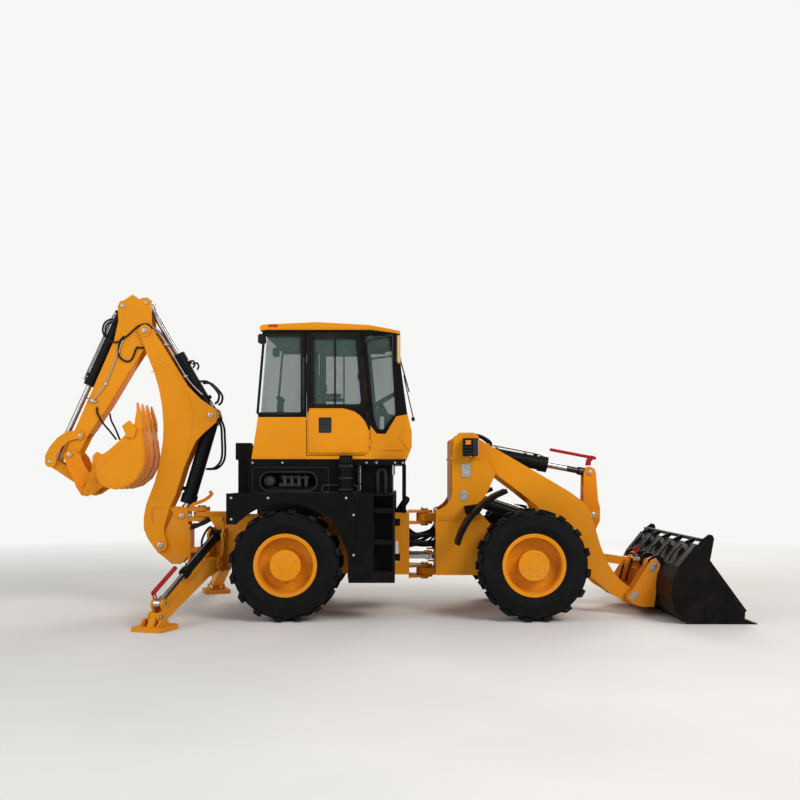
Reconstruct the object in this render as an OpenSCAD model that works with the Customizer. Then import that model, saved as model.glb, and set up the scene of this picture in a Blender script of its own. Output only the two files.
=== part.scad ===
// Articulated backhoe loader.
// Lengths are millimetres. X runs forward, Y to the left, Z up, and the ground is Z 0.
// Pairs such as [x, z] are measured from the steering pivot's axis and the ground.

/* [Stance] */
// Distance from the rear axle to the steering pivot
rear_axle_back = 1343; // [1320:1:1380]
// Distance from the steering pivot to the front axle
front_axle_ahead = 1027; // [1000:1:1060]
// Distance between the middles of the left and right tyres
track = 1660; // [1640:1:1720]
// Gap kept between parts that move past each other
move_gap = 6; // [5:0.5:9]
// Gap around a rod in its gland, and beside an eye between its ears
slide_gap = 0.6; // [0.4:0.1:1.5]
// Gap left at a seat or a running face
seat_gap = 0.3; // [0.2:0.05:0.4]

/* [Wheels] */
// Outer diameter of a tyre over its lugs
tyre_d = 1075; // [1050:1:1080]
// Width of a tyre
tyre_w = 410; // [390:1:425]
// Height of a tyre's lugs over its casing
lug_h = 26; // [18:1:34]
// Lugs on each half of a tyre
lug_count = 16; // [12:1:20]
// Diameter of the rim where the tyre's bead seats
rim_d = 560; // [540:1:580]
// Thickness of the rim's sheet
rim_t = 12; // [8:1:16]
// Diameter of the hub's cap
hub_d = 262; // [240:1:280]

/* [Rear frame] */
// Half of the distance over the rear frame's rails
rail_half = 390; // [370:1:400]
// Thickness of the frame's plates
plate_t = 25; // [16:1:30]
// Height of the rails' underside
rail_low = 420; // [400:1:440]
// Height of the rails' top
rail_top = 980; // [960:1:1000]
// Radius of the pins
pin_r = 30; // [26:1:32]

/* [Cab] */
// Half width of the cab at its waist
cab_half = 750; // [735:1:765]
// Height of the cab's floor
cab_floor = 1555; // [1550:1:1562]
// Height of the roof's top at its edges
roof_z = 2865; // [2855:1:2885]
// Thickness of the cab's walls and doors
wall_t = 45; // [35:1:50]
// Thickness of the glass
glass_t = 8; // [5:1:10]
// Door gap to its opening
door_gap = 7; // [6:1:10]

/* [Loader] */
// Half of the distance over the loader's arms
arm_half = 430; // [420:1:440]
// Thickness of an arm's plate
arm_t = 40; // [30:1:45]
// Width of the loader's bucket
bucket_w = 2270; // [2200:1:2300]
// Thickness of the bucket's sheet
bucket_t = 16; // [12:1:20]

/* [Backhoe] */
// Half of the distance over the boom's plates
boom_half = 135; // [130:1:140]
// Thickness of the boom's plates
boom_t = 22; // [18:1:24]
// Half of the distance over the dipper's plates
dipper_half = 100; // [94:1:102]
// Width of the digging bucket
dig_w = 640; // [560:1:660]
// Thickness of the digging bucket's sheet
dig_t = 16; // [12:1:20]

/* [Stabilisers] */
// Sideways reach of a stabiliser's foot from the machine's middle
foot_reach = 1505; // [1490:1:1560]
// Width of a stabiliser's leg
leg_w = 120; // [110:1:130]
// Length of a stabiliser's pad
pad_l = 300; // [280:1:310]

/* [Hidden] */
$fn = 48;

// Pins of the rear frame, the backhoe and the bucket linkages, as [x, z]
boom_foot = [-2731, 675];
boom_ram_pin = [-2515, 976];
boom_hump = [-2209, 2022];
dipper_pin = [-2893, 2894];
dipper_top = [-2884, 3192];
dig_ram_pin = [-3133, 3160];
dig_pin = [-3665, 1610];
rocker_pin = [-3567, 1806];
link_pin = [-3876, 1535];
hitch_pin = [-3535, 1310];
swing_x = -2330;
arm_pin = [433, 1572];
lift_base = [392, 1188];
lift_eye = [1254, 896];
tilt_base = [542, 1650];
crank_top = [1717, 1427];
crank_pin = [1732, 988];
crank_low = [1440, 600];
coupler_link_pin = [2124, 499];
bucket_pin = [2061, 183];

// Foremost and rearmost points of the machine, and the shift that centres it
bucket_tip_x = 3107;
link_end_r = 55;
rear_end_x = link_pin[0] - link_end_r;
shift_x = -(bucket_tip_x + rear_end_x) / 2;

tyre_r = tyre_d / 2;
rim_r = rim_d / 2;
tyre_in = (track - tyre_w) / 2;
tyre_out = (track + tyre_w) / 2;
// Underside of the frames where the axles' pads are bolted
axle_seat = tyre_r + 100;

// Placing

module placed() {
    translate([shift_x, 0, 0]) children();
}

// Both sides, as mirror images
module both_sides() {
    children();
    mirror([0, 1, 0]) children();
}

// A plate cut to points [x, z], from y0 to y1
module plate(points, y0, y1) {
    translate([0, y1, 0]) rotate([90, 0, 0]) linear_extrude(y1 - y0) polygon(points);
}

// A round boss, pin or bore at [x, z], from y0 to y1
module disc_y(at, r, y0, y1) {
    translate([at[0], y1, at[1]]) rotate([90, 0, 0]) cylinder(r = r, h = y1 - y0);
}

// A pair of equal plates, from the inner to the outer distance
module plate_pair(points, inner, outer) {
    plate(points, inner, outer);
    plate(points, -outer, -inner);
}

// A box from its low corner to its high corner
module box(low, high) {
    translate(low) cube(high - low);
}

// Corners of a strip of width w about the line from a to b, in any plane
function strip(a, b, w) =
    let (d = b - a, n = [-d[1], d[0]] / norm(d) * w / 2)
    [a - n, b - n, b + n, a + n];

// A bar from a to b, round at both ends, between y0 and y1
module link_bar(a, b, w, y0, y1) {
    plate(strip(a, b, w), y0, y1);
    disc_y(a, w / 2, y0, y1);
    disc_y(b, w / 2, y0, y1);
}

// Points of an arc about c
function arc(c, r, a0, a1, steps = 6) =
    [for (i = [0:steps]) c + r * [cos(a0 + (a1 - a0) * i / steps), sin(a0 + (a1 - a0) * i / steps)]];

// Moves children drawn along +X from the origin to run from a towards b, both [x, y, z]
module aim(a, b) {
    d = b - a;
    translate(a) rotate([0, 0, atan2(d[1], d[0])])
        rotate([0, -atan2(d[2], norm([d[0], d[1]])), 0]) children();
}

// Solid cylinder along +X from x0 to x1
module bar_x(r, x0, x1) {
    translate([x0, 0, 0]) rotate([0, 90, 0]) cylinder(r = r, h = x1 - x0);
}

// Cylinder barrel from its base eye at the origin along +X, bored for its rod
module ram_barrel(r, length, rod_r, eye_r, eye_w) {
    difference() {
        union() {
            bar_x(eye_w / 2 - 2, eye_r * 0.6, eye_r + 8);
            bar_x(r, eye_r + 6, length);
            bar_x(r * 1.16, length - r * 1.3, length);
            rotate([90, 0, 0]) cylinder(r = eye_r, h = eye_w, center = true);
            for (port = [eye_r + r * 0.6, length - r * 1.9])
                translate([port, 0, 0]) cylinder(r = r * 0.3, h = r * 1.35);
        }
        bar_x(rod_r + slide_gap, eye_r * 1.6, length + 1);
    }
}

// Rod along +X from inside the barrel to its eye
module ram_rod(r, from, eye_at, eye_r, eye_w) {
    bar_x(r, from, eye_at - eye_r * 0.5);
    bar_x(r * 1.35, eye_at - eye_r * 1.9, eye_at - eye_r * 0.5);
    translate([eye_at, 0, 0]) rotate([90, 0, 0]) cylinder(r = eye_r, h = eye_w, center = true);
}

function xyz(p, y = 0) = [p[0], y, p[1]];

// Wheels

module tyre(at_x, side) {
    color("#1c1c1e")
    placed() translate([at_x, side * track / 2, tyre_r]) rotate([-90 * side, 0, 0])
        union() {
            rotate_extrude($fn = 72) tyre_section();
            intersection() {
                cylinder(r = tyre_r, h = tyre_w, center = true);
                for (i = [0:lug_count - 1], half = [-1, 1])
                    rotate([0, 0, (i + half / 4 + 0.25) * 360 / lug_count]) lug(half);
            }
        }
}

// Slanted lug from the tread's middle to its shoulder, standing along +X
module lug(half) {
    wide = tyre_r * 3.1416 / lug_count * 0.3;
    z0 = half * 10;
    z1 = half * (tyre_w / 2 - 6);
    translate([tyre_r - lug_h - 14, 0, 0]) rotate([90, 0, 90]) linear_extrude(lug_h + 20)
        polygon([[-wide, z0], [wide, z0], [wide * 2.3, z1], [0, z1]]);
}

bead_half = tyre_w * 0.36;
shoulder_r = tyre_r - lug_h - 26;
module tyre_section() {
    polygon([
        [rim_r + 1, -bead_half], [rim_r + 30, -bead_half - 16],
        [(rim_r + shoulder_r) / 2, -tyre_w / 2], [shoulder_r, -tyre_w / 2 + 12],
        [tyre_r - lug_h, -tyre_w * 0.38], [tyre_r - lug_h, tyre_w * 0.38],
        [shoulder_r, tyre_w / 2 - 12], [(rim_r + shoulder_r) / 2, tyre_w / 2],
        [rim_r + 30, bead_half + 16], [rim_r + 1, bead_half]]);
}

// Rim: tube, flanges, dished disc and hub cap, with +Z outward
disc_at = 18;
module rim(at_x, side) {
    color("#f0a010")
    placed() translate([at_x, side * track / 2, tyre_r]) rotate([-90 * side, 0, 0])
        rotate_extrude($fn = 72) rim_section();
}

module rim_section() {
    lip = bead_half + 22;
    polygon([
        [rim_r, -lip], [rim_r + 12, -lip], [rim_r + 12, -lip + 8], [rim_r, -bead_half],
        [rim_r, bead_half], [rim_r + 12, lip - 8], [rim_r + 12, lip], [rim_r - rim_t, lip],
        [rim_r - rim_t - 18, disc_at + rim_t], [hub_d / 2 + 22, disc_at + rim_t],
        [hub_d / 2 + 8, disc_at + 50], [hub_d / 2, disc_at + 128], [hub_d / 2 - 14, disc_at + 140],
        [0, disc_at + 140], [0, disc_at - 20], [hub_d / 2 + 20, disc_at - 20],
        [rim_r - rim_t - 22, disc_at - 20], [rim_r - rim_t - 8, -lip]]);
}

// Axle: beam with end flanges and a differential in the middle
module axle(at_x) {
    end = track / 2 + disc_at - 20 - seat_gap;
    translate([at_x, 0, tyre_r]) {
        rotate([90, 0, 0]) cylinder(r = 70, h = 2 * (tyre_in - 60), center = true);
        both_sides() {
            translate([0, -end, 0]) rotate([-90, 0, 0]) cylinder(r = 95, h = end - tyre_in + 70);
            translate([0, -tyre_in - 10, 0]) rotate([-90, 0, 0]) cylinder(r = 150, h = 40);
            translate([-75, -rail_half - 10, 50]) cube([150, 150, axle_seat - tyre_r - 50]);
        }
        both_sides() rotate([90, 0, 0]) cylinder(r1 = 114, r2 = 60, h = 150);
    }
}

// Rear frame

// Outline inset by d to the left of its points' order; a negative d grows it
function inset(p, d) =
    [for (i = [0:len(p) - 1])
        let (a = p[(i + len(p) - 1) % len(p)], b = p[i], c = p[(i + 1) % len(p)],
             u = (b - a) / norm(b - a), v = (c - b) / norm(c - b),
             m = [-u[1], u[0]], n = [-v[1], v[0]])
        b + d * (m + n) / (1 + m * n)];

column_rear = -304;
column_front = -160;
tail_x = -2040;
hinge_r = 85;
hinge_pin_r = 34;
// Rear frame's ears of the steering pivot: low side, high side
rear_ears = [[340, 364], [446, 470], [892, 916], [1011, 1035]];
// Front frame's ears between them
front_ears = [[364 + move_gap, 446 - move_gap], [916 + move_gap, 1011 - move_gap]];
// Rear frame's ears of the swing post
swing_ears = [[545, 590], [969, 1018]];
swing_pin_r = 40;

module ear_z(r, root_x, at_x, half, low, high) {
    translate([0, 0, low]) linear_extrude(high - low) union() {
        polygon([[root_x, -half], [at_x, -r], [at_x, r], [root_x, half]]);
        translate([at_x, 0]) circle(r);
    }
}

module rear_frame() {
    color("#f0a010") placed() {
        difference() {
            plate_pair([[tail_x, rail_low + 60], [-1700, rail_low], [column_front, rail_low - 25],
                        [column_front, rail_top + 40], [column_rear, rail_top + 40],
                        [column_rear - 30, rail_top], [tail_x, rail_top]],
                       rail_half - plate_t, rail_half);
            box([-rear_axle_back - 120, -rail_half - 5, rail_low - 60],
                [-rear_axle_back + 120, rail_half + 5, axle_seat]);
            for (side = [-1, 1]) leg_room(side);
        }
        // Cross plates of the column, open for the driveshaft and the steering rams
        difference() {
            union() {
                box([column_rear, -rail_half + 5, rail_low - 25],
                    [column_rear + plate_t, rail_half - 5, rail_top + 40]);
                box([column_front - plate_t, -rail_half + 5, rail_low - 25],
                    [column_front, rail_half - 5, rail_top + 40]);
            }
            translate([column_rear - 1, 0, tyre_r + 30]) rotate([0, 90, 0])
                cylinder(r = 110, h = column_front - column_rear + 2);
            both_sides() box([column_rear - 1, -rail_half + plate_t, steer_z - 60],
                             [column_front + 1, -steer_base[1] + 75, steer_z + 60]);
        }
        both_sides() {
            for (z = [steer_z - 25 - move_gap - 16, steer_z + 25 + move_gap])
                box([steer_base[0] - 50, -rail_half + 5, z],
                    [steer_base[0] + 32, -steer_base[1] + 30, z + 16]);
            translate([steer_base[0], -steer_base[1], steer_z - 60]) cylinder(r = 18, h = 120);
        }
        for (ear = rear_ears)
            ear_z(hinge_r, column_front - 5, 0, 190, ear[0], ear[1]);
        for (span = [[rear_ears[0][0] - 15, rear_ears[1][1] + 12],
                     [rear_ears[2][0] - 12, rear_ears[3][1] + 15]])
            translate([0, 0, span[0]]) cylinder(r = hinge_pin_r, h = span[1] - span[0]);
        box([-1000, -rail_half + 5, rail_top - 60], [-880, rail_half - 5, rail_top]);
        difference() {
            box([tail_x - 40, -rail_half - 40, rail_low + 60], [tail_x, rail_half + 40, rail_top]);
            for (side = [-1, 1]) leg_room(side);
        }
        for (ear = swing_ears)
            ear_z(85, tail_x - 5, swing_x, 88, ear[0], ear[1]);
        for (ear = swing_ears)
            translate([swing_x, 0, ear[0] - 60]) cylinder(r = swing_pin_r, h = ear[1] - ear[0] + 120);
        plate_pair([[tail_x - 5, swing_ears[0][1] - 5], [tail_x - 5, swing_ears[1][0] + 5],
                    [tail_x - 175, swing_ears[1][0] + 5], [tail_x - 120, 880], [tail_x - 75, 780],
                    [tail_x - 120, swing_ears[0][1] - 5]], 210, 235);
        for (side = [-1, 1]) leg_bracket(side);
    }
}

// Stabilisers, drawn in the plane of a leg: s outward from the hinge, z up

leg_hinge_x = -2120;
leg_hinge_y = 470;
leg_plan_turn = 18;
leg_hinge = [0, 510];
leg_reach = (foot_reach - leg_hinge_y) / cos(leg_plan_turn);
foot_pin = [leg_reach, 118];
leg_rod_pin = [leg_reach - 62, 232];
leg_ram_pin = [-80, 800];
leg_ram_r = 46;
leg_rod_r = 26;
leg_ram_l = 745;
leg_eye_r = 42;

// Puts the leg's plane in place: side -1 is the right, +1 the left
module leg_place(side) {
    translate([leg_hinge_x, side * leg_hinge_y, 0]) rotate([0, 0, side * (90 + leg_plan_turn)]) children();
}

module leg_bracket(side) {
    ear_in = leg_w / 2 + move_gap;
    leg_place(side) {
        for (y = [-ear_in - plate_t, ear_in])
            plate([[-190, 440], [-60, 440], [-20, 430], [60, 470], [75, 520], [50, 570],
                   [-20, 600], [-40, 700], [-20, 800], [-60, 860], [-120, 870], [-190, 870]],
                  y, y + plate_t);
        disc_y(leg_hinge, pin_r, -ear_in - plate_t - 12, ear_in + plate_t + 12);
        disc_y(leg_ram_pin, pin_r, -ear_in - plate_t - 12, ear_in + plate_t + 12);
        // Plate that joins the ears and lies against the frame's end plate
        box([-190, -ear_in - plate_t, 440], [-158, ear_in + plate_t, 870]);
    }
}

// Room between the ears for the leg's root and its ram
module leg_room(side) {
    leg_place(side) box([-158, -leg_w / 2 - move_gap, 430], [300, leg_w / 2 + move_gap, 940]);
}

leg_top = [[-10, 575], [220, 530], [leg_reach - 130, 186]];
module leg(side) {
    color("#f0a010") placed() leg_place(side) {
        difference() {
            union() {
                plate([[-40, 450], [200, 400], [leg_reach - 90, 78], [leg_reach - 100, 170],
                       leg_top[2], leg_top[1], leg_top[0]], -leg_w / 2, leg_w / 2);
                disc_y(leg_hinge, 68, -leg_w / 2, leg_w / 2);
                for (y = [-leg_w / 2, leg_w / 2 - 22]) {
                    link_bar([leg_reach - 110, 135], foot_pin, 84, y, y + 22);
                    link_bar([leg_reach - 110, 135], leg_rod_pin, 84, y, y + 22);
                }
            }
            disc_y(leg_hinge, pin_r + slide_gap, -leg_w, leg_w);
            // Room for the ram's rod and the pad's lug between the cheeks
            disc_y(leg_rod_pin, 66, -leg_w / 2 + 22, leg_w / 2 - 22);
            disc_y(foot_pin, 62, -leg_w / 2 + 22, leg_w / 2 - 22);
        }
        disc_y(foot_pin, 22, -leg_w / 2 - 8, leg_w / 2 + 8);
        for (y = [-leg_w / 2 - 8, leg_w / 2 - 4]) disc_y(leg_rod_pin, 24, y, y + 12);
    }
}

// Foot pad on the leg's outer pin
module pad(side) {
    lug = leg_w / 2 - 22 - move_gap;
    color("#f0a010") placed() leg_place(side) {
        difference() {
            union() {
                box([leg_reach - pad_l / 2, -pad_l / 2, 0], [leg_reach + pad_l / 2, pad_l / 2, 42]);
                plate([[leg_reach - 75, 40], [leg_reach - 40, 118], [leg_reach + 40, 118],
                       [leg_reach + 90, 40]], -lug, lug);
                disc_y(foot_pin, 40, -lug, lug);
                for (y = [-leg_w / 2 - move_gap - 30, leg_w / 2 + move_gap + 14])
                    plate([[leg_reach - 110, 40], [leg_reach - 40, 105], [leg_reach + 50, 105],
                           [leg_reach + 120, 40]], y, y + 16);
            }
            disc_y(foot_pin, 22 + slide_gap, -leg_w, leg_w);
        }
    }
}

module leg_ram(side) {
    placed() leg_place(side) aim(xyz(leg_ram_pin), xyz(leg_rod_pin)) children();
}

leg_ram_span = norm(leg_rod_pin - leg_ram_pin);
module leg_barrel(side) {
    color("#202022") leg_ram(side) difference() {
        ram_barrel(leg_ram_r, leg_ram_l, leg_rod_r, 50, leg_w - 10);
        rotate([90, 0, 0]) cylinder(r = pin_r + slide_gap, h = leg_w, center = true);
    }
}

module leg_rod(side) {
    color("#d8dade") leg_ram(side)
        ram_rod(leg_rod_r, leg_ram_l - 260, leg_ram_span, leg_eye_r, leg_w - 44 - 2 * move_gap);
}

// Swing post: two cheeks joined by ears that turn on the frame's pins

post_half = boom_half - boom_t - move_gap;
post_ears = [[swing_ears[0][0] - move_gap - 44, swing_ears[0][0] - move_gap],
             [swing_ears[0][1] + move_gap, swing_ears[0][1] + move_gap + 44],
             [swing_ears[1][0] - move_gap - 44, swing_ears[1][0] - move_gap],
             [swing_ears[1][1] + move_gap, swing_ears[1][1] + move_gap + 44]];
module swing_post() {
    color("#f0a010") placed() {
        difference() {
            union() {
                plate_pair([[-2800, 640], [-2770, 600], [-2700, 545], [-2620, 476], [-2530, 476],
                            [-2455, 560], [-2455, 1068], [-2640, 1068], [-2655, 1040],
                            [-2600, 1015], [-2700, 800], [-2800, 720]],
                           post_half - plate_t, post_half);
                plate([[-2455, 480], [-2430, 480], [-2430, 890], [-2455, 890]], -post_half, post_half);
                for (ear = post_ears)
                    translate([0, 0, ear[0]]) linear_extrude(ear[1] - ear[0]) union() {
                        polygon([[-2450, -post_half + 2], [swing_x, -85], [swing_x, 85], [-2450, post_half - 2]]);
                        translate([swing_x, 0]) circle(85);
                    }
                for (y = [-post_half - 12, post_half - plate_t])
                    disc_y(boom_ram_pin, pin_r, y, y + plate_t + 12);
            }
            translate([swing_x, 0, 400]) cylinder(r = swing_pin_r + slide_gap, h = 800);
            // Room for the boom ram's rod
            box([-2460, -62, 985], [-2422, 62, 1100]);
            disc_y(boom_foot, pin_r + 8 + slide_gap, -post_half - 5, post_half + 5);
        }
    }
}

// Boom: curved box of two plates and covers

boom_side = [
    [-2923, 2801], [-2872, 2646], [-2803, 2475], [-2751, 2303], [-2717, 2114], [-2703, 1925],
    [-2708, 1753], [-2743, 1530], [-2794, 1324], [-2880, 1100], [-2906, 963], [-2906, 842],
    [-2863, 739], [-2788, 635], [-2734, 606], [-2676, 632], [-2662, 690], [-2698, 800],
    [-2696, 870], [-2640, 1066], [-2580, 1190], [-2485, 1495], [-2416, 1650], [-2365, 1753],
    [-2262, 1856], [-2165, 1940], [-2136, 2000], [-2160, 2080], [-2313, 2183], [-2451, 2320],
    [-2537, 2458], [-2640, 2629], [-2751, 2810], [-2835, 2925], [-2893, 2962], [-2945, 2925],
    [-2955, 2880]];
// Inner faces of the boom's plates, clear of the post at its foot
boom_web = [
    [-2880, 2700], [-2803, 2475], [-2751, 2303], [-2717, 2114], [-2703, 1925], [-2708, 1753],
    [-2743, 1530], [-2794, 1324], [-2850, 1180], [-2790, 1130], [-2680, 1300], [-2580, 1560],
    [-2500, 1760], [-2440, 1920], [-2440, 2100], [-2505, 2320], [-2600, 2458], [-2700, 2629],
    [-2750, 2722]];
module boom() {
    inner = boom_half - boom_t;
    color("#f0a010") placed() {
        difference() {
            union() {
                plate_pair(boom_side, inner, boom_half);
                difference() {
                    plate(boom_web, -inner, inner);
                    plate(inset(boom_web, 14), -inner, inner);
                }
                for (y = [-boom_half - 10, inner]) disc_y(boom_hump, 60, y, y + boom_t + 10);
                for (y = [-boom_half - 12, inner]) disc_y(boom_foot, 66, y, y + boom_t + 12);
                for (y = [-boom_half - 12, inner]) disc_y(dipper_pin, 62, y, y + boom_t + 12);
                disc_y(boom_foot, pin_r + 8, -boom_half - 24, boom_half + 24);
                disc_y(dipper_pin, pin_r, -boom_half - 24, boom_half + 24);
                disc_y(boom_hump, pin_r, -boom_half - 20, boom_half + 20);
            }
        }
    }
}

// A ram's barrel and rod in the X-Z plane at y, from its base pin to its rod pin
boom_ram_r = 72;
boom_rod_r = 36;
boom_ram_l = 955;
module boom_barrel() {
    color("#202022") placed() aim(xyz(boom_hump), xyz(boom_ram_pin)) difference() {
        ram_barrel(boom_ram_r, boom_ram_l, boom_rod_r, 60, 96);
        rotate([90, 0, 0]) cylinder(r = pin_r + slide_gap, h = 200, center = true);
    }
}

boom_span = norm(boom_ram_pin - boom_hump);
module boom_rod() {
    color("#d8dade") placed() aim(xyz(boom_hump), xyz(boom_ram_pin))
        ram_rod(boom_rod_r, 110, boom_span, 58, 2 * (post_half - plate_t - move_gap));
}

// Dipper: box of two plates with a head that carries both rams

dipper_side = [
    [-3031, 3275], [-2975, 3222], [-2930, 3238], [-2880, 3245], [-2835, 3205], [-2838, 3150],
    [-2830, 2940], [-2835, 2870], [-2904, 2724], [-3057, 2491], [-3275, 2128], [-3508, 1793],
    [-3600, 1610], [-3640, 1552], [-3700, 1552], [-3730, 1610], [-3646, 1836], [-3479, 2215],
    [-3224, 2797], [-3178, 3000], [-3186, 3150], [-3160, 3205], [-3120, 3215]];
dipper_web = [
    [-2915, 2780], [-3057, 2491], [-3275, 2128], [-3480, 1830], [-3560, 1850], [-3479, 2215],
    [-3224, 2797], [-3146, 2960], [-3080, 2990], [-2975, 2780]];
module dipper() {
    inner = dipper_half - boom_t;
    color("#f0a010") placed() difference() {
        union() {
            plate_pair(dipper_side, inner, dipper_half);
            difference() {
                plate(dipper_web, -inner, inner);
                plate(inset(dipper_web, -14), -inner, inner);
            }
            plate([[-3031, 3275], [-3018, 3262], [-3031, 3100], [-3044, 3262]], -inner, inner);
            for (pin = [dipper_top, dig_ram_pin]) disc_y(pin, pin_r - 6, -dipper_half - 4, -inner);
            for (pin = [dipper_top, dig_ram_pin]) disc_y(pin, pin_r - 6, inner, dipper_half + 4);
            disc_y(dig_ram_pin, pin_r - 6, -inner, inner);
            disc_y(dipper_pin, 62, -dipper_half, dipper_half);
            disc_y(dig_pin, 55, -dipper_half, dipper_half);
            disc_y(rocker_pin, pin_r - 4, -rocker_in - rocker_t, rocker_in + rocker_t);
        }
        disc_y(dipper_pin, pin_r + slide_gap, -dipper_half - 5, dipper_half + 5);
        disc_y(dig_pin, pin_r + slide_gap, -dipper_half - 5, dipper_half + 5);
    }
}

// Dipper ram, whose base fork straddles the boom ram's eye
dipper_ram_r = 60;
dipper_rod_r = 33;
dipper_ram_l = 735;
module dipper_barrel() {
    eye_in = 48 + move_gap;
    eye_out = boom_half - boom_t - move_gap;
    color("#202022") placed() aim(xyz(boom_hump), xyz(dipper_top)) difference() {
        union() {
            bar_x(dipper_ram_r, 120, dipper_ram_l);
            bar_x(dipper_ram_r * 1.16, dipper_ram_l - 86, dipper_ram_l);
            translate([85, -eye_out, -50]) cube([50, 2 * eye_out, 100]);
            for (y = [-eye_out, eye_in]) {
                translate([0, y + eye_out - eye_in, 0]) rotate([90, 0, 0])
                    cylinder(r = 50, h = eye_out - eye_in);
                translate([0, y, -50]) cube([90, eye_out - eye_in, 100]);
            }
            for (port = [190, dipper_ram_l - 130])
                translate([port, 0, 0]) cylinder(r = 20, h = dipper_ram_r * 1.35);
        }
        bar_x(dipper_rod_r + slide_gap, 150, dipper_ram_l + 1);
        rotate([90, 0, 0]) cylinder(r = pin_r + slide_gap, h = 400, center = true);
    }
}

dipper_span = norm(dipper_top - boom_hump);
module dipper_rod() {
    color("#d8dade") placed() aim(xyz(boom_hump), xyz(dipper_top))
        ram_rod(dipper_rod_r, dipper_ram_l - 90, dipper_span, 44, 2 * (dipper_half - boom_t - move_gap));
}

// Digging bucket's ram, on top of the dipper
dig_ram_r = 55;
dig_rod_r = 29;
dig_ram_l = 905;
dig_span = norm(link_pin - dig_ram_pin);
module dig_barrel() {
    color("#202022") placed() aim(xyz(dig_ram_pin), xyz(link_pin)) difference() {
        ram_barrel(dig_ram_r, dig_ram_l, dig_rod_r, 50, 90);
        rotate([90, 0, 0]) cylinder(r = pin_r - 6 + slide_gap, h = 300, center = true);
    }
}

module dig_rod() {
    color("#d8dade") placed() aim(xyz(dig_ram_pin), xyz(link_pin))
        ram_rod(dig_rod_r, dig_ram_l - 200, dig_span, 46, 76);
}

// Bucket linkage: curved rocker plates outside, the link between them

rocker_in = dipper_half + move_gap;
rocker_t = 22;
module dig_rocker() {
    color("#f0a010") placed() difference() {
        union() {
            for (y = [-rocker_in - rocker_t, rocker_in]) {
                plate(concat([[-3545, 1765], [-3530, 1830], [-3575, 1862]],
                             [[-3700, 1856], [-3800, 1790]],
                             [for (d = [[-9, 155], [-54, 65], [-55, 0], [-24, -48], [24, -51], [56, -20]])
                                 link_pin + d],
                             [[-3815, 1600], [-3760, 1690], [-3690, 1750], [-3610, 1775]]),
                      y, y + rocker_t);
                disc_y(link_pin, link_end_r, y, y + rocker_t);
            }
            disc_y(link_pin, pin_r - 6, -rocker_in - rocker_t, -40);
            disc_y(link_pin, pin_r - 6, 40, rocker_in + rocker_t);
        }
        disc_y(rocker_pin, pin_r - 4 + slide_gap, -rocker_in - 60, rocker_in + 60);
    }
}

module dig_link() {
    half = 80;
    eye_in = 46;
    color("#f0a010") placed() difference() {
        union() {
            for (y = [-half, eye_in]) link_bar(link_pin, hitch_pin, 96, y, y + half - eye_in);
            plate(strip(link_pin + 0.3 * (hitch_pin - link_pin), link_pin + 0.72 * (hitch_pin - link_pin), 90),
                  -eye_in - 2, eye_in + 2);
        }
        disc_y(link_pin, pin_r - 6 + slide_gap, -half - 5, half + 5);
    }
}

// Two cross pins hold the digging bucket's ears on the hitch
hook_pins = [[-3480, 1235], [-3400, 1335]];
hook_pin_r = 26;
hitch_in = rocker_in + rocker_t + move_gap;
hook_end = hitch_in + 20 + move_gap + 22 + 6;

// Quick hitch, pinned to the dipper's end
module dig_hitch() {
    color("#e8980c") placed() union() {
        for (y = [-hitch_in - 20, hitch_in])
            plate([[-3700, 1650], [-3735, 1600], [-3690, 1480], [-3640, 1380], [-3600, 1275],
                   [-3545, 1190], [-3480, 1180], [-3430, 1225], [-3440, 1265], [-3400, 1280],
                   [-3350, 1260], [-3345, 1330], [-3390, 1400], [-3470, 1430], [-3520, 1500],
                   [-3560, 1590], [-3610, 1650]], y, y + 20);
        disc_y(dig_pin, pin_r, -hitch_in - 36, hitch_in + 36);
        for (y = [-hitch_in - 36, 80 + move_gap])
            disc_y(hitch_pin, pin_r - 4, y, y + hitch_in + 36 - 80 - move_gap);
        for (pin = hook_pins) disc_y(pin, hook_pin_r, -hook_end, hook_end);
    }
}

// Digging bucket: bent sheet between side plates, with ears, teeth and side cutters

dig_side = [
    [-2884, 1905], [-2862, 1740], [-2847, 1600], [-2865, 1485], [-2929, 1371], [-3029, 1290],
    [-3143, 1256], [-3257, 1282], [-3322, 1343], [-3345, 1440], [-3340, 1560], [-3300, 1600],
    [-3229, 1642], [-3115, 1742], [-2986, 1870], [-2935, 1955]];
tooth_count = 4;
module dig_bucket() {
    half = dig_w / 2;
    color("#f0a010") placed() {
        difference() {
            plate(dig_side, -half, half);
            plate(concat([for (i = [0:9]) inset(dig_side, -dig_t)[i]],
                         [[-3320, 1640], [-3200, 1900], [-2950, 2100], [-2884 - dig_t, 2010]]),
                  -half + dig_t, half - dig_t);
        }
        for (y = [-hitch_in - 20 - move_gap - 22, hitch_in + 20 + move_gap]) difference() {
            plate([[-3300, 1600], [-3345, 1440], [-3322, 1343], [-3290, 1295], [-3430, 1200],
                   [-3490, 1185], [-3525, 1225], [-3450, 1390], [-3430, 1480], [-3420, 1600],
                   [-3380, 1640]], y, y + 22);
            for (pin = hook_pins) disc_y(pin, hook_pin_r + seat_gap, y - 1, y + 23);
        }
        for (i = [0:tooth_count - 1]) {
            y = -half + 30 + i * (dig_w - 60) / (tooth_count - 1);
            plate([[-2868, 1870], [-2945, 1890], [-2932, 2010], [-2934, 2136], [-2926, 2138], [-2882, 2000]],
                  y - 30, y + 30);
        }
        for (y = [-half - 22, half])
            plate([[-3030, 1790], [-2960, 1770], [-2925, 1870], [-3000, 1955], [-3075, 1900]], y, y + 22);
    }
}

// Front frame and loader

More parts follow.
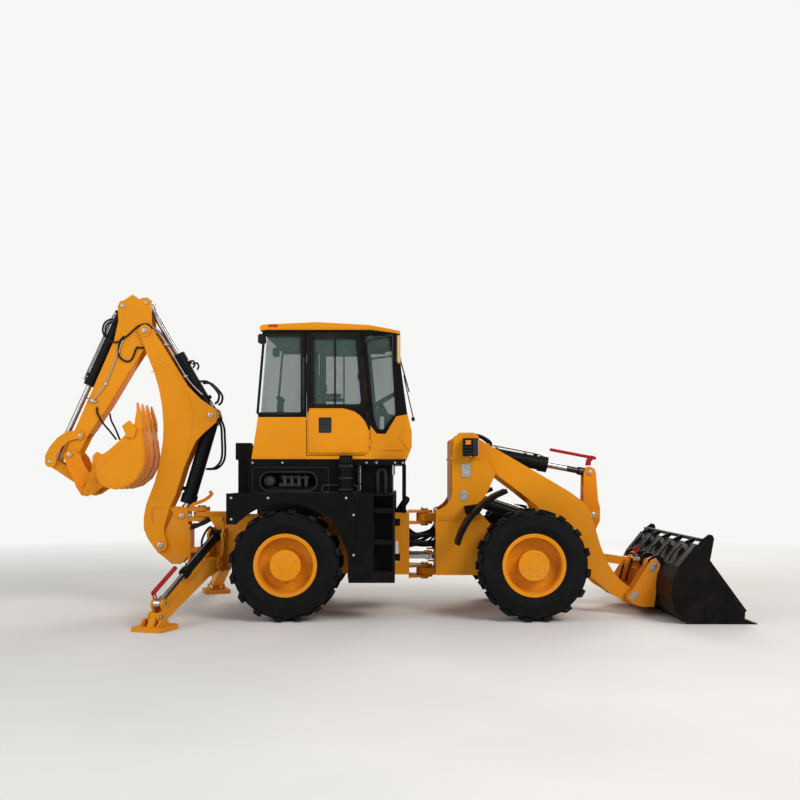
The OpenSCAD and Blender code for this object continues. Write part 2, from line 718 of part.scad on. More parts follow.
tower_out = arm_half + move_gap + plate_t;
tower_in = arm_half - arm_t - move_gap;
tower_side = [
    [106, 1045], [160, 1060], [215, 1100], [255, 1160], [270, 1229], [270, 1572], [286, 1770],
    [340, 1825], [487, 1825], [533, 1794], [545, 1755], [610, 1586], [703, 1408], [625, 1231],
    [560, 1130], [533, 1045]];
module front_frame() {
    color("#f0a010") placed() {
        difference() {
            union() {
                plate_pair(tower_side, tower_out - plate_t, tower_out);
                plate_pair(tower_side, tower_in - plate_t, tower_in);
                plate_pair([[106, 396], [106, 1046], [533, 1046], [700, 860], [1400, 740],
                            [1400, axle_seat], [900, axle_seat], [760, 396]],
                           rail_half - plate_t, rail_half);
                plate_pair([[106, 396], [106, 1046], [533, 1046], [640, 900], [540, 396]],
                           tower_out - plate_t, tower_out);
                box([106, -tower_out, 396], [106 + plate_t, tower_out, 1046]);
                box([106, -tower_out, 396], [560, tower_out, 396 + plate_t]);
                box([255, -tower_in, 1100], [255 + plate_t, tower_in, 1760]);
                box([1205, -rail_half, axle_seat], [1230, rail_half, 740]);
                // Lamp ledge and lower ledge on the tower's plates
                both_sides() {
                    box([250, -tower_out - 10, 1560], [560, -tower_out, 1580]);
                    box([140, -tower_out - 10, 950], [545, -tower_out, 968]);
                    box([106, -tower_out, 1022], [545, -tower_in, 1046]);
                }
            }
            translate([100, 0, tyre_r + 30]) rotate([0, 90, 0]) cylinder(r = 110, h = 60);
            both_sides() box([100, -352, steer_z - 32], [136, -258, steer_z + 32]);
            box([front_axle_ahead - 120, -rail_half - 2, 300],
                [front_axle_ahead + 120, rail_half + 2, axle_seat]);
        }
        for (ear = front_ears) difference() {
            ear_z(hinge_r, 110, 0, 190, ear[0], ear[1]);
            translate([0, 0, ear[0] - 1]) cylinder(r = hinge_pin_r + slide_gap, h = ear[1] - ear[0] + 2);
        }
        // Ears of the steering rams' rods
        both_sides() for (z = [steer_z - 34 - 14, steer_z + 34])
            translate([steer_eye[0], -steer_eye[1], z]) linear_extrude(14) union() {
                circle(32);
                translate([0, -32]) square([108 - steer_eye[0], 64]);
            }
        both_sides() {
            disc_y(arm_pin, 40, -tower_out - 14, -tower_in + plate_t);
            disc_y(lift_base, pin_r, -tower_in, -195);
            box([lift_base[0] - 50, -220, 1022], [lift_base[0] + 50, -195, lift_base[1] + 40]);
            box([lift_base[0] - 50, -tower_in + 5, 1022], [lift_base[0] + 50, -195, 1046]);
        }
        disc_y(tilt_base, pin_r, -tower_in + 5, tower_in - 5);
    }
}

// Loader arms with their cross tube and crank brackets

arm_side = [
    [539, 1762], [821, 1601], [1315, 1314], [1450, 1233], [1584, 1135], [1638, 1078], [1681, 966],
    [1732, 800], [1762, 692], [1824, 538], [1892, 429], [1977, 330], [2075, 262], [2140, 215],
    [2145, 155], [2110, 110], [2050, 100], [1990, 125], [1948, 161], [1850, 217], [1674, 374],
    [1560, 560], [1400, 820], [1300, 880], [1250, 820], [1200, 860], [1190, 940], [1125, 1088],
    [954, 1226], [697, 1420], [500, 1500], [400, 1500], [365, 1572], [400, 1650], [480, 1740]];
cross_tube = [1120, 1235];
module loader_arms() {
    inner = arm_half - arm_t;
    color("#f0a010") placed() difference() {
        union() {
            plate_pair(arm_side, inner, arm_half);
            // Cross tube and the crank's two brackets
            disc_y(cross_tube, 72, -arm_half + 5, arm_half - 5);
            plate_pair([[1060, 1190], [1120, 1165], [1560, 900], [1740, 900], [1800, 960], [1800, 1020],
                        [1740, 1050], [1600, 1060], [1170, 1300], [1080, 1290]], 126, 151);
            disc_y(crank_pin, pin_r + 4, -180, 180);
            both_sides() {
                disc_y(lift_eye, 62, -inner, -345);
                disc_y(lift_eye, 34, -arm_half - 10, -345);
                disc_y(bucket_pin, 62, -arm_half - 8, -inner + 8);
            }
        }
        disc_y(arm_pin, 40 + slide_gap, -arm_half - 5, arm_half + 5);
        disc_y(bucket_pin, pin_r + slide_gap, -arm_half - 20, arm_half + 20);
    }
}

// Lift rams: one pair, moving together

lift_y = 290;
lift_eye_w = 78;
lift_r = 62;
lift_rod_r = 33;
lift_ram_l = 800;
lift_span = norm(lift_eye - lift_base);
module lift_barrels() {
    color("#202022") placed() for (side = [-1, 1]) translate([0, side * lift_y, 0])
        aim(xyz(lift_base), xyz(lift_eye)) difference() {
            ram_barrel(lift_r, lift_ram_l, lift_rod_r, 52, lift_eye_w);
            rotate([90, 0, 0]) cylinder(r = pin_r + slide_gap, h = 200, center = true);
        }
}

module lift_rods() {
    color("#d8dade") placed() for (side = [-1, 1]) translate([0, side * lift_y, 0])
        aim(xyz(lift_base), xyz(lift_eye)) ram_rod(lift_rod_r, 90, lift_span, 52, lift_eye_w);
}

// Bellcrank on the arms' brackets

crank_half = 60;
crank_side = [
    [1655, 1427], [1672, 1468], [1717, 1489], [1762, 1468], [1779, 1427], [1800, 1150],
    [1822, 1060], [1820, 920], [1740, 780], [1520, 560], [1480, 530], [1430, 528], [1380, 560],
    [1372, 620], [1400, 665], [1600, 860], [1640, 950], [1642, 1030], [1650, 1150]];
module bellcrank() {
    color("#e07a06") placed() difference() {
        union() {
            difference() {
                plate(crank_side, -crank_half - 40, crank_half + 40);
                // Mouths for the tilt rod above and the link below
                disc_y(crank_top, 150, -crank_half, crank_half);
                disc_y(crank_low, 185, -crank_half, crank_half);
            }
            for (pin = [crank_low, crank_top]) for (y = [-crank_half - 50, crank_half])
                disc_y(pin, pin_r, y, y + 50);
        }
        disc_y(crank_pin, pin_r + 4 + slide_gap, -120, 120);
    }
}

// Tilt ram between the tower and the bellcrank

tilt_r = 72;
tilt_rod_r = 33;
tilt_ram_l = 755;
tilt_span = norm(crank_top - tilt_base);
module tilt_barrel() {
    color("#202022") placed() aim(xyz(tilt_base), xyz(crank_top)) difference() {
        ram_barrel(tilt_r, tilt_ram_l, tilt_rod_r, 56, 110);
        rotate([90, 0, 0]) cylinder(r = pin_r + slide_gap, h = 200, center = true);
    }
}

module tilt_rod() {
    color("#d8dade") placed() aim(xyz(tilt_base), xyz(crank_top)) {
        ram_rod(tilt_rod_r, tilt_ram_l - 318, tilt_span, 54, 2 * (crank_half - move_gap));
    }
}

// Link from the bellcrank down to the hitch
module tilt_link() {
    eye_half = crank_half - move_gap;
    color("#f0a010") placed() difference() {
        union() {
            plate(strip(crank_low, coupler_link_pin, 84), -eye_half + 14, eye_half - 14);
            disc_y(crank_low, 58, -eye_half, eye_half);
            disc_y(coupler_link_pin, 52, -eye_half, eye_half);
        }
        disc_y(coupler_link_pin, pin_r + slide_gap, -eye_half - 5, eye_half + 5);
    }
}

// Quick hitch between the arms and the bucket

coupler_half = 560;
hook_tube = [2285, 500];
hook_tube_r = 38;
coupler_side = [
    [2241, 554], [2290, 575], [2332, 516], [2322, 420], [2270, 92], [2160, 88], [2076, 111],
    [2002, 168], [2004, 205], [2060, 262]];
module loader_hitch() {
    eye_gap = move_gap + 8;
    color("#f0a010") placed() {
        difference() {
            union() {
                both_sides() {
                    plate(coupler_side, -coupler_half, -coupler_half + plate_t);
                    plate(coupler_side, -arm_half - eye_gap - plate_t, -arm_half - eye_gap);
                    plate(coupler_side, -arm_half + arm_t + eye_gap, -arm_half + arm_t + eye_gap + plate_t);
                    disc_y(bucket_pin, pin_r, -arm_half - eye_gap - 5, -arm_half + arm_t + eye_gap + 5);
                    plate([[2090, 455], [2080, 520], [2110, 556], [2160, 540], [2290, 545], [2290, 400]],
                          -90, -65);
                }
                disc_y(hook_tube, hook_tube_r, -coupler_half, coupler_half);
                disc_y(coupler_link_pin, pin_r, -100, 100);
                box([2180, -coupler_half, 92], [2262, coupler_half, 150]);
                box([2262, -coupler_half, 250], [2280, coupler_half, 320]);
                plate([[2230, 100], [2262, 100], [2300, 400], [2275, 440], [2252, 420]],
                      -coupler_half, coupler_half);
            }
            plate(inset(bucket_end, -seat_gap), -bucket_w, bucket_w);
            // Room for the tilt link when the bucket is dumped
            box([2150, -62, 80], [2248, 62, 155]);
            for (side = [-1, 1])
                box([1950, side * (arm_half - arm_t / 2) - arm_t / 2 - eye_gap + 0.5, 60],
                    [2225, side * (arm_half - arm_t / 2) + arm_t / 2 + eye_gap - 0.5, 160]);
        }
    }
}

// Loader bucket: one bent sheet, end plates, lip, back ears and an open spill guard

bucket_end = [
    [3107, 0], [2982, 49], [2987, 121], [2529, 752], [2359, 542], [2304, 426], [2287, 291],
    [2314, 121], [2439, 4]];
guard_count = 5;
module loader_bucket() {
    half = bucket_w / 2;
    e = bucket_end;
    hollow = [[3140, 12], [2460, 14 + bucket_t], e[8] + [bucket_t - 20, bucket_t * 1.6],
              e[7] + [bucket_t, 7], e[6] + [bucket_t, 0], e[5] + [bucket_t, -5],
              e[4] + [bucket_t, -9], e[3] + [bucket_t, -10], [2560, 800], [3200, 300]];
    color("#1e1e20") placed() {
        difference() {
            plate(bucket_end, -half, half);
            plate(hollow, -half + 20, half - 20);
        }
        // Spill guard: end plates, ribs with round holes, and two bars
        for (y = [-half, half - 20])
            plate([[2500, 700], [2592, 802], [2645, 843], [2680, 835], [2695, 802], [2655, 582]], y, y + 20);
        for (i = [0:guard_count - 1]) {
            y = -half * 0.78 + i * half * 1.56 / (guard_count - 1);
            difference() {
                plate([[2400, 600], [2429, 669], [2494, 766], [2571, 800], [2600, 780], [2529, 720]],
                      y - 8, y + 8);
                disc_y([2490, 715], 26, y - 9, y + 9);
            }
        }
        box([2565, -half, 772], [2605, half, 800]);
        // Ears that hang on the hitch's tube
        for (y = [-coupler_half + plate_t + 6, coupler_half - plate_t - 26, -150, 130]) difference() {
            plate([[2350, 522], [2375, 562], [2330, 600], [2270, 596], [2222, 560], [2218, 490],
                   [2240, 462], [2300, 470]], y, y + 20);
            disc_y(hook_tube, hook_tube_r + seat_gap, y - 1, y + 21);
        }
    }
}

// Axles, fenders and lamps of the front

fender_r = 775;
module front_fenders() {
    wheel_at = [front_axle_ahead, tyre_r];
    color("#202022") placed() both_sides() {
        plate(concat(arc(wheel_at, fender_r, 110, 165), arc(wheel_at, fender_r - 40, 165, 110)),
              -tyre_out + 5, -tyre_in + 5);
        plate([[385, 1090], [400, 1010], [520, 1010], [560, 1060], [520, 1110]], -tyre_in + 5 - 20, -tower_out);
    }
}

module headlamps() {
    color("#202022") placed() both_sides() {
        box([373, -tower_out - 150, 1590], [516, -tower_out - 20, 1764]);
        box([400, -tower_out - 45, 1625], [440, -tower_out, 1700]);
    }
}

// Steering rams: barrels pinned in the rear column, rods at the front frame

steer_base = [-560, 290];
steer_eye = [60, 300];
steer_z = 570;
steer_r = 38;
steer_rod_r = 20;
steer_l = 400;
steer_span = norm(steer_eye - steer_base);
module steer_place(side) {
    placed() translate([0, 0, steer_z])
        aim([steer_base[0], side * steer_base[1], 0], [steer_eye[0], side * steer_eye[1], 0])
        rotate([90, 0, 0]) children();
}

module steering_barrel(side) {
    color("#202022") steer_place(side) difference() {
        ram_barrel(steer_r, steer_l, steer_rod_r, 34, 50);
        rotate([90, 0, 0]) cylinder(r = 18 + slide_gap, h = 120, center = true);
    }
}

module steering_rod(side) {
    color("#d8dade") steer_place(side) ram_rod(steer_rod_r, steer_l - 165, steer_span, 30, 40);
}

// Cab: one shell, cut into its yellow lower body and its black pillars

// Side outline of the cab, counter-clockwise from the rear lower corner
roof_under = roof_z - 50;
cab_side = [
    [-1700, cab_floor], [-190, cab_floor], [-135, 1690], [-135, 1838], [-182, 2033],
    [-291, roof_under], [-1568, roof_under], [-1636, 1964]];
cab_plan = [
    [-1720, -cab_half], [-530, -cab_half], [-200, -420], [-120, -380], [-120, 380], [-200, 420],
    [-530, cab_half], [-1720, cab_half]];
module cab_solid(d) {
    intersection() {
        plate(inset(cab_side, d), -cab_half, cab_half);
        translate([0, 0, cab_floor]) linear_extrude(roof_under - cab_floor) polygon(inset(cab_plan, d));
    }
}

module cab_shell() {
    difference() {
        cab_solid(0);
        cab_solid(wall_t);
    }
}

// Door outline, grown by g, and its window
function door_outline(g) = [
    [-1160 - g, 1594 - g], [-600, 1594 - g], [-547 + g, 1650], [-547 + g, 1990],
    [-632 + g, 2790 + g], [-1160 - g, 2790 + g]];
door_window = [[-1104, 2073], [-640, 2073], [-617, 2110], [-668, 2745], [-1104, 2745]];
quarter_window = [[-1207, 2765], [-1575, 2765], [-1640, 1998], [-1207, 1998]];
front_quarter = [[-585, 2765], [-505, 1960], [-470, 1850], [-415, 1850], [-300, 2015], [-345, 2765]];

module window_cuts() {
    far = cab_half + 20;
    plate(quarter_window, -far, far);
    difference() {
        plate(front_quarter, -far, far);
        box([-700, -440, 1500], [0, 440, 2900]);
    }
    box([-420, -375, 2050], [-100, 375, roof_under - wall_t - 20]);
    box([-1760, -cab_half + 130, 2000], [-1450, cab_half - 130, roof_under - wall_t - 20]);
}

module waist_zone() {
    plate([[-1800, 1500], [-100, 1500], [-100, 2030], [-182, 2012], [-290, 1985], [-395, 1805],
           [-480, 1805], [-540, 1880], [-547, 1964], [-1800, 1964]], -cab_half - 5, cab_half + 5);
}

module door_opening() {
    for (side = [-1, 1])
        plate(door_outline(door_gap), side * cab_half - wall_t - 10, side * cab_half + wall_t + 10);
}

// Door hinges: a pin between two lugs on the cab, through a sleeve on the door's front corner
door_x = -547;
door_low = 1710;
door_high = 1940;
door_r = 13;
door_pin_r = 6;
door_half = 20;
module door_disc(side, z, r, z0, z1) {
    translate([door_x, side * cab_half, z + z0]) cylinder(r = r, h = z1 - z0);
}

module door_lugs(z) {
    out = door_half + seat_gap;
    for (side = [-1, 1]) {
        door_disc(side, z, door_pin_r, -out - 14, out + 14);
        for (low = [-out - 14, out]) {
            door_disc(side, z, door_r, low, low + 14);
            box([door_x, min(side * cab_half, side * (cab_half - 14)), z + low],
                [door_x + 26, max(side * cab_half, side * (cab_half - 14)), z + low + 14]);
        }
    }
}

module door_room(z) {
    out = door_half + seat_gap;
    for (side = [-1, 1]) door_disc(side, z, door_r + 3, -out, out);
}

module cab_body() {
    color("#f0a010") placed() {
        intersection() {
            difference() {
                cab_shell();
                door_opening();
                window_cuts();
                door_room(door_low);
            }
            waist_zone();
        }
        door_lugs(door_low);
    }
}

module cab_pillars() {
    color("#202022") placed() {
        difference() {
            cab_shell();
            waist_zone();
            door_opening();
            window_cuts();
            door_room(door_high);
        }
        door_lugs(door_high);
        // Mirror arms and mirrors at the front pillars
        both_sides() {
            box([-325, -cab_half - 100, 2700], [-305, -510, 2716]);
            box([-320, -cab_half - 190, 2470], [-285, -cab_half - 60, 2745]);
        }
    }
}

module cab_glass() {
    seat_in = (wall_t - glass_t) / 2;
    color("#bcd8d4") placed() intersection() {
        difference() {
            cab_solid(seat_in);
            cab_solid(seat_in + glass_t);
        }
        window_cuts();
    }
}

module cab_roof() {
    overhang = 18;
    color("#f0a010") placed() intersection() {
        plate([[-1621, roof_under], [-251, roof_under], [-251, roof_z - 22], [-400, roof_z - 8],
               [-1055, roof_z + 29], [-1580, roof_z + 6], [-1621, roof_z - 8]],
              -cab_half - 5, cab_half + 5);
        translate([0, 0, roof_under - 1]) linear_extrude(200)
            polygon(inset([[-1621, -cab_half + 25], [-560, -cab_half + 25], [-251, -470],
                           [-251, 470], [-560, cab_half - 25], [-1621, cab_half - 25]], 0));
    }
}

// Door in its opening, hinged at its front edge
module door(side) {
    low = min(side * (cab_half - wall_t), side * cab_half);
    color("#f0a010") placed() difference() {
        union() {
            plate(door_outline(0), low, low + wall_t);
            plate([[-1050, 1800], [-912, 1800], [-912, 1969], [-1050, 1969]],
                  min(side * cab_half, side * (cab_half + 10)), max(side * cab_half, side * (cab_half + 10)));
            for (z = [door_low, door_high]) door_disc(side, z, door_r, -door_half, door_half);
        }
        plate(door_window, low - 1, low + wall_t + 1);
        for (z = [door_low, door_high]) {
            door_disc(side, z, door_pin_r + seat_gap, -door_half - 1, door_half + 1);
            door_disc(side, z, door_r + 3, door_half, door_half + 18);
            door_disc(side, z, door_r + 3, -door_half - 18, -door_half);
        }
    }
}

module door_glass(side) {
    low = min(side * (cab_half - wall_t / 2 - glass_t / 2), side * (cab_half - wall_t / 2 + glass_t / 2));
    color("#bcd8d4") placed() plate(door_window, low, low + glass_t);
}

module seat_and_controls() {
    floor_z = cab_floor + wall_t;
    color("#26262a") placed() {
        box([-1100, -200, floor_z], [-800, 200, floor_z + 260]);
        box([-1180, -250, floor_z + 260], [-680, 250, floor_z + 390]);
        plate([[-1180, floor_z + 390], [-1060, floor_z + 390], [-1160, floor_z + 960],
               [-1250, floor_z + 950]], -240, 240);
        // Steering column and wheel, front console
        plate([[-420, floor_z], [-300, floor_z], [-330, floor_z + 430], [-420, floor_z + 430]], -130, 130);
        aim([-380, 0, floor_z + 400], [-470, 0, floor_z + 560]) bar_x(26, 0, 175);
        translate([-463, 0, floor_z + 547]) rotate([0, -29.4, 0]) cylinder(r = 190, h = 22);
        // Rear console for the backhoe's levers
        box([-1570, -240, floor_z], [-1440, 240, floor_z + 330]);
        for (y = [-180, -60, 60, 180]) translate([-1505, y, floor_z + 325]) cylinder(r = 9, h = 250);
    }
}

// Engine, cover and rear fenders

cover_half = 735;
cover_low = 1222;
deck_t = 22;
engine_rear = -1700;
engine_half = 270;
engine_low = 735;
module engine() {
    front = engine_rear + 690;
    color("#5a5f60") placed() {
        box([engine_rear, -engine_half, engine_low], [front, engine_half, engine_low + 735]);
        both_sides() for (x = [engine_rear + 40, front - 120])
            box([x, -rail_half + 5, rail_top], [x + 80, 5 - engine_half, rail_top + 60]);
    }
}

module stadium(x0, x1, z0, z1) {
    r = (z1 - z0) / 2;
    translate([x0 + r, z0 + r]) circle(r);
    translate([x1 - r, z0 + r]) circle(r);
    translate([x0 + r, z0]) square([x1 - x0 - 2 * r, z1 - z0]);
}

module engine_cover() {
    side_t = 25;
    color("#202022") placed() {
        difference() {
            box([-1731, -cover_half, cover_low], [-700, cover_half, 1500]);
            box([-1731 + side_t, -cover_half + side_t, cover_low - 1],
                [-700 - side_t, cover_half - side_t, 1480]);
            translate([0, cover_half + 5, 0]) rotate([90, 0, 0]) linear_extrude(2 * cover_half + 10)
                stadium(-1615, -1065, 1245, 1425);
        }
        box([-1740, -cover_half, 1500], [-200, cover_half, cab_floor]);
        // Tank box under the cab's front, and the front posts
        box([-640, -620, cover_low], [-330, 620, 1500]);
        both_sides() {
            box([-232, -400, rail_top + 40], [-192, -340, 1505]);
            // Air cleaner bowl with its neck and cap, standing on the deck
            translate([-775, -cover_half - 88, cover_low]) {
                cylinder(r = 68, h = 270);
                cylinder(r = 22, h = 300);
                translate([0, 0, 292]) cylinder(r = 64, h = 72);
            }
        }
        // Rear stack and its box
        for (y = [-500, 380]) {
            box([-1870, y, cover_low], [-1731, y + 120, 1551]);
            box([-1890, y - 30, 1551], [-1745, y + 150, 1720]);
        }
    }
}

step_x = [-640, -301];
fender_out = 1030;
module rear_fenders() {
    wheel_at = [-rear_axle_back, tyre_r];
    arch_r = tyre_r + 65;
    low_z = 376;
    color("#202022") placed() {
        both_sides() {
            difference() {
                plate([[-1898, 930], [-1790, 930], [-1750, 1000], [-900, 1000], [-780, 700],
                       [-738, low_z], [step_x[0], low_z], [step_x[0], cover_low],
                       [-1898, cover_low]], -fender_out, -fender_out + deck_t);
                disc_y(wheel_at, arch_r, -fender_out - 5, -fender_out + deck_t + 5);
            }
            box([-1898, -fender_out, cover_low - deck_t], [step_x[1], -rail_half + 60, cover_low]);
            box([-1898, -fender_out, cover_low - 120], [-1898 + deck_t, -rail_half + 20, cover_low]);
            // Step box with three steps
            difference() {
                box([step_x[0], -fender_out, low_z], [step_x[1], -cover_half + 20, cover_low]);
                for (rung = [0:2])
                    box([step_x[0] + 140, -fender_out - 1, 470 + rung * 300],
                        [step_x[1] - 20, -fender_out + 170, 740 + rung * 300 - (rung == 2 ? 130 : 0)]);
                box([step_x[0] + deck_t, -fender_out + 190, low_z + deck_t],
                    [step_x[1] - deck_t, -cover_half + 20 - deck_t, cover_low - deck_t]);
            }
            box([step_x[0] + 40, -cover_half + 15, 900], [step_x[1] - 40, -rail_half, 960]);
        }
    }
}

module rear_axle() {
    color("#f0a010") placed() {
        axle(-rear_axle_back);
        translate([0, 0, tyre_r + 30]) bar_x(38, -rear_axle_back + 100, -330);
    }
}

module front_axle() {
    color("#f0a010") placed() {
        axle(front_axle_ahead);
        translate([0, 0, tyre_r + 30]) bar_x(38, 330, front_axle_ahead - 100);
    }
}

rear_frame();
engine();
engine_cover();
rear_fenders();
rear_axle();
cab_body();
cab_pillars();
cab_roof();
cab_glass();
seat_and_controls();
door(-1);  // door_right
door(1);  // door_left
door_glass(-1);  // door_glass_right
door_glass(1);  // door_glass_left
steering_barrel(-1);  // steering_barrel_right
steering_barrel(1);  // steering_barrel_left
steering_rod(-1);  // steering_rod_right
steering_rod(1);  // steering_rod_left
swing_post();
boom();
boom_barrel();
boom_rod();
dipper();
dipper_barrel();
dipper_rod();
dig_barrel();
dig_rod();
dig_rocker();
dig_link();
dig_hitch();
dig_bucket();
leg(-1);  // leg_right
leg(1);  // leg_left
pad(-1);  // pad_right
pad(1);  // pad_left
leg_barrel(-1);  // leg_barrel_right
leg_barrel(1);  // leg_barrel_left
leg_rod(-1);  // leg_rod_right
leg_rod(1);  // leg_rod_left
front_frame();
front_axle();
front_fenders();
headlamps();
tyre(front_axle_ahead, -1);  // tyre_front_right
tyre(front_axle_ahead, 1);  // tyre_front_left
tyre(-rear_axle_back, -1);  // tyre_rear_right
tyre(-rear_axle_back, 1);  // tyre_rear_left
rim(front_axle_ahead, -1);  // rim_front_right
rim(front_axle_ahead, 1);  // rim_front_left
rim(-rear_axle_back, -1);  // rim_rear_right
rim(-rear_axle_back, 1);  // rim_rear_left
loader_arms();
lift_barrels();
lift_rods();
bellcrank();
tilt_barrel();
tilt_rod();
tilt_link();
loader_hitch();
loader_bucket();
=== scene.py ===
"""Visual model of the articulated backhoe loader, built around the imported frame.

Lengths are millimetres from the steering pivot's axis (X forward, Y left, Z up) until
at() turns them into the frame's metres.
"""

import math

import bpy
import numpy as np
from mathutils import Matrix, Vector


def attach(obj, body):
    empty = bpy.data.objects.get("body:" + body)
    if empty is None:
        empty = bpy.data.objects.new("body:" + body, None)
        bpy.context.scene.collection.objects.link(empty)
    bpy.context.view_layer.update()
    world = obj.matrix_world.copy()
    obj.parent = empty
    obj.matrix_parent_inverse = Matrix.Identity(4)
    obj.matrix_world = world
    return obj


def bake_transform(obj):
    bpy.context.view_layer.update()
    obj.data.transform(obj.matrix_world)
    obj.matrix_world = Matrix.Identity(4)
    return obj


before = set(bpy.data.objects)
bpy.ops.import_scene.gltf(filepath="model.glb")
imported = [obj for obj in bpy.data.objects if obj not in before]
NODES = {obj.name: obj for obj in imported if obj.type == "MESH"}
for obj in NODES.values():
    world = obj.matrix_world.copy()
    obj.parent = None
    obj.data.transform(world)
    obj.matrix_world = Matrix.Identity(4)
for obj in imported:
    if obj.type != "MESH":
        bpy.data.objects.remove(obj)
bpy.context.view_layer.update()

SHIFT_X = 412.0  # the steering pivot's place in the frame
NEAR, FAR = -1, 1  # the right side, which faces the camera, and the left
FRONT_AXLE, REAR_AXLE = 1027, -1343
HALF_TRACK, TYRE_R = 830, 537.5
BOTH = ((NEAR, "right"), (FAR, "left"))


def at(x, y, z):
    return Vector(((x + SHIFT_X) / 1000, y / 1000, z / 1000))


def side_y(side, low, high):
    """Y values of a side's inner and outer face, the lower one first."""
    return sorted((side * low, side * high))


def angles(count, start=0.0):
    """Evenly spaced angles of a full turn."""
    return [2 * math.pi * (k + start) / count for k in range(count)]


# ---- Camera
camera_data = bpy.data.cameras.new("view_camera")
camera_data.sensor_width = 36
camera_data.lens = 46.17
camera_data.shift_x = -0.00625
camera_data.shift_y = 0.095
camera = bpy.data.objects.new("view_camera", camera_data)
camera.location = (0.209, -10.75, 1.39)
camera.rotation_euler = (math.radians(90), 0, 0)
bpy.context.scene.collection.objects.link(camera)
bpy.context.scene.camera = camera
bpy.context.scene.view_settings.view_transform = "Standard"


# ---- Materials
class Tree:
    """A node tree whose nodes are added by short calls."""

    def __init__(self, tree):
        self.tree = tree

    def plug(self, socket, value):
        if isinstance(value, bpy.types.NodeSocket):
            self.tree.links.new(value, socket)
        else:
            socket.default_value = value

    def node(self, kind, inputs=None, **props):
        n = self.tree.nodes.new(kind)
        for key, value in props.items():
            setattr(n, key, value)
        for key, value in (inputs or {}).items():
            self.plug(n.inputs[key], value)
        return n


class Shade(Tree):
    """A material and its usual textures."""

    def __init__(self, name, base, rough, metallic=0.0, alpha=1.0):
        self.mat = bpy.data.materials.new(name)
        self.mat.use_nodes = True
        super().__init__(self.mat.node_tree)
        self.bsdf = self.tree.nodes["Principled BSDF"]
        self.set("Base Color", (*base, 1))
        self.set("Roughness", rough)
        self.set("Metallic", metallic)
        self.set("Alpha", alpha)
        self.set("Specular IOR Level", 0.5 if metallic else 0.07)
        self.coords = self.tree.nodes.new("ShaderNodeTexCoord").outputs["Object"]

    def set(self, socket, value):
        self.bsdf.inputs[socket].default_value = value

    def noise(self, scale, detail=4.0, rough=0.5):
        return self.node("ShaderNodeTexNoise", {"Vector": self.coords, "Scale": scale,
                                                "Detail": detail, "Roughness": rough}).outputs["Fac"]

    def ramp(self, fac, low, high, color_low, color_high):
        n = self.node("ShaderNodeValToRGB", {"Fac": fac})
        for element, where, color in zip(n.color_ramp.elements, (low, high), (color_low, color_high)):
            element.position = where
            element.color = (*color, 1)
        return n.outputs["Color"]

    def grey(self, fac, low, high, v_low=0.0, v_high=1.0):
        return self.node("ShaderNodeMapRange", {"Value": fac, "From Min": low, "From Max": high,
                                                "To Min": v_low, "To Max": v_high}).outputs["Result"]

    def math(self, op, a, b=0.0, clamp=False):
        return self.node("ShaderNodeMath", {0: a, 1: b}, operation=op, use_clamp=clamp).outputs[0]

    def mix(self, fac, a, b):
        n = self.node("ShaderNodeMix", data_type="RGBA")
        for socket, value in ((0, fac), (6, a), (7, b)):
            self.plug(n.inputs[socket], (*value, 1) if isinstance(value, tuple) else value)
        return n.outputs[2]

    def link(self, out, socket):
        self.tree.links.new(out, self.bsdf.inputs[socket])

    def bump(self, height, strength, distance):
        n = self.node("ShaderNodeBump", {"Height": height, "Strength": strength, "Distance": distance})
        self.link(n.outputs["Normal"], "Normal")

    def axis(self, name):
        return self.node("ShaderNodeSeparateXYZ", {0: self.coords}).outputs[name]

    def edges(self):
        """1 near sharp edges, 0 on flat faces."""
        bevel = self.node("ShaderNodeBevel", {"Radius": 0.006}, samples=4).outputs[0]
        true = self.node("ShaderNodeNewGeometry").outputs["Normal"]
        dot = self.node("ShaderNodeVectorMath", {0: bevel, 1: true}, operation="DOT_PRODUCT")
        return self.grey(dot.outputs["Value"], 0.999, 0.93)


def scaled(color, k):
    return tuple(min(1.0, c * k) for c in color)


def paint(name, color, rough=0.4, dust=(0.36, 0.26, 0.15), dust_amount=0.18, wear=0.5, wear_color=None,
          lower=None):
    """Enamel: cloudy tone, dust low down and in patches, worn edges, orange peel.

    lower is the colour of a door's skin: below its waist, and lower still behind its curved corner.
    """
    s = Shade(name, color, rough)
    cloud = s.noise(1.3, 3.0)
    tone = s.ramp(cloud, 0.3, 0.72, scaled(color, 0.9), scaled(color, 1.06))
    if lower:
        z = s.axis("Z")
        waist = s.math("LESS_THAN", z, 2.05)
        corner = s.math("MAXIMUM", s.math("LESS_THAN", z, 1.84), s.math("LESS_THAN", s.axis("X"), -0.388))
        tone = s.mix(s.math("MULTIPLY", waist, corner), tone, lower)
    low = s.grey(s.axis("Z"), 1.25, 0.05, 0.0, 1.0)
    patch = s.noise(7.0, 8.0, 0.62)
    amount = s.math("ADD", s.math("MULTIPLY", low, dust_amount), dust_amount * 0.25)
    dusty = s.math("MULTIPLY", s.grey(patch, 0.44, 0.68), amount, clamp=True)
    base = s.mix(dusty, tone, dust)
    grit = s.grey(s.noise(46.0, 5.0, 0.7), 0.55 - 0.1 * wear, 0.68)
    scratch = s.math("MULTIPLY", s.edges(), grit, clamp=True)
    base = s.mix(s.math("MULTIPLY", scratch, wear), base, wear_color or scaled(color, 0.45))
    s.link(base, "Base Color")
    s.link(s.math("ADD", s.grey(patch, 0.3, 0.75, rough - 0.06, rough + 0.16),
                  s.math("MULTIPLY", dusty, 0.35), clamp=True), "Roughness")
    s.bump(s.math("ADD", s.noise(260.0, 2.0), s.math("MULTIPLY", s.noise(18.0, 2.0), 0.5)), 0.05, 0.0015)
    return s.mat


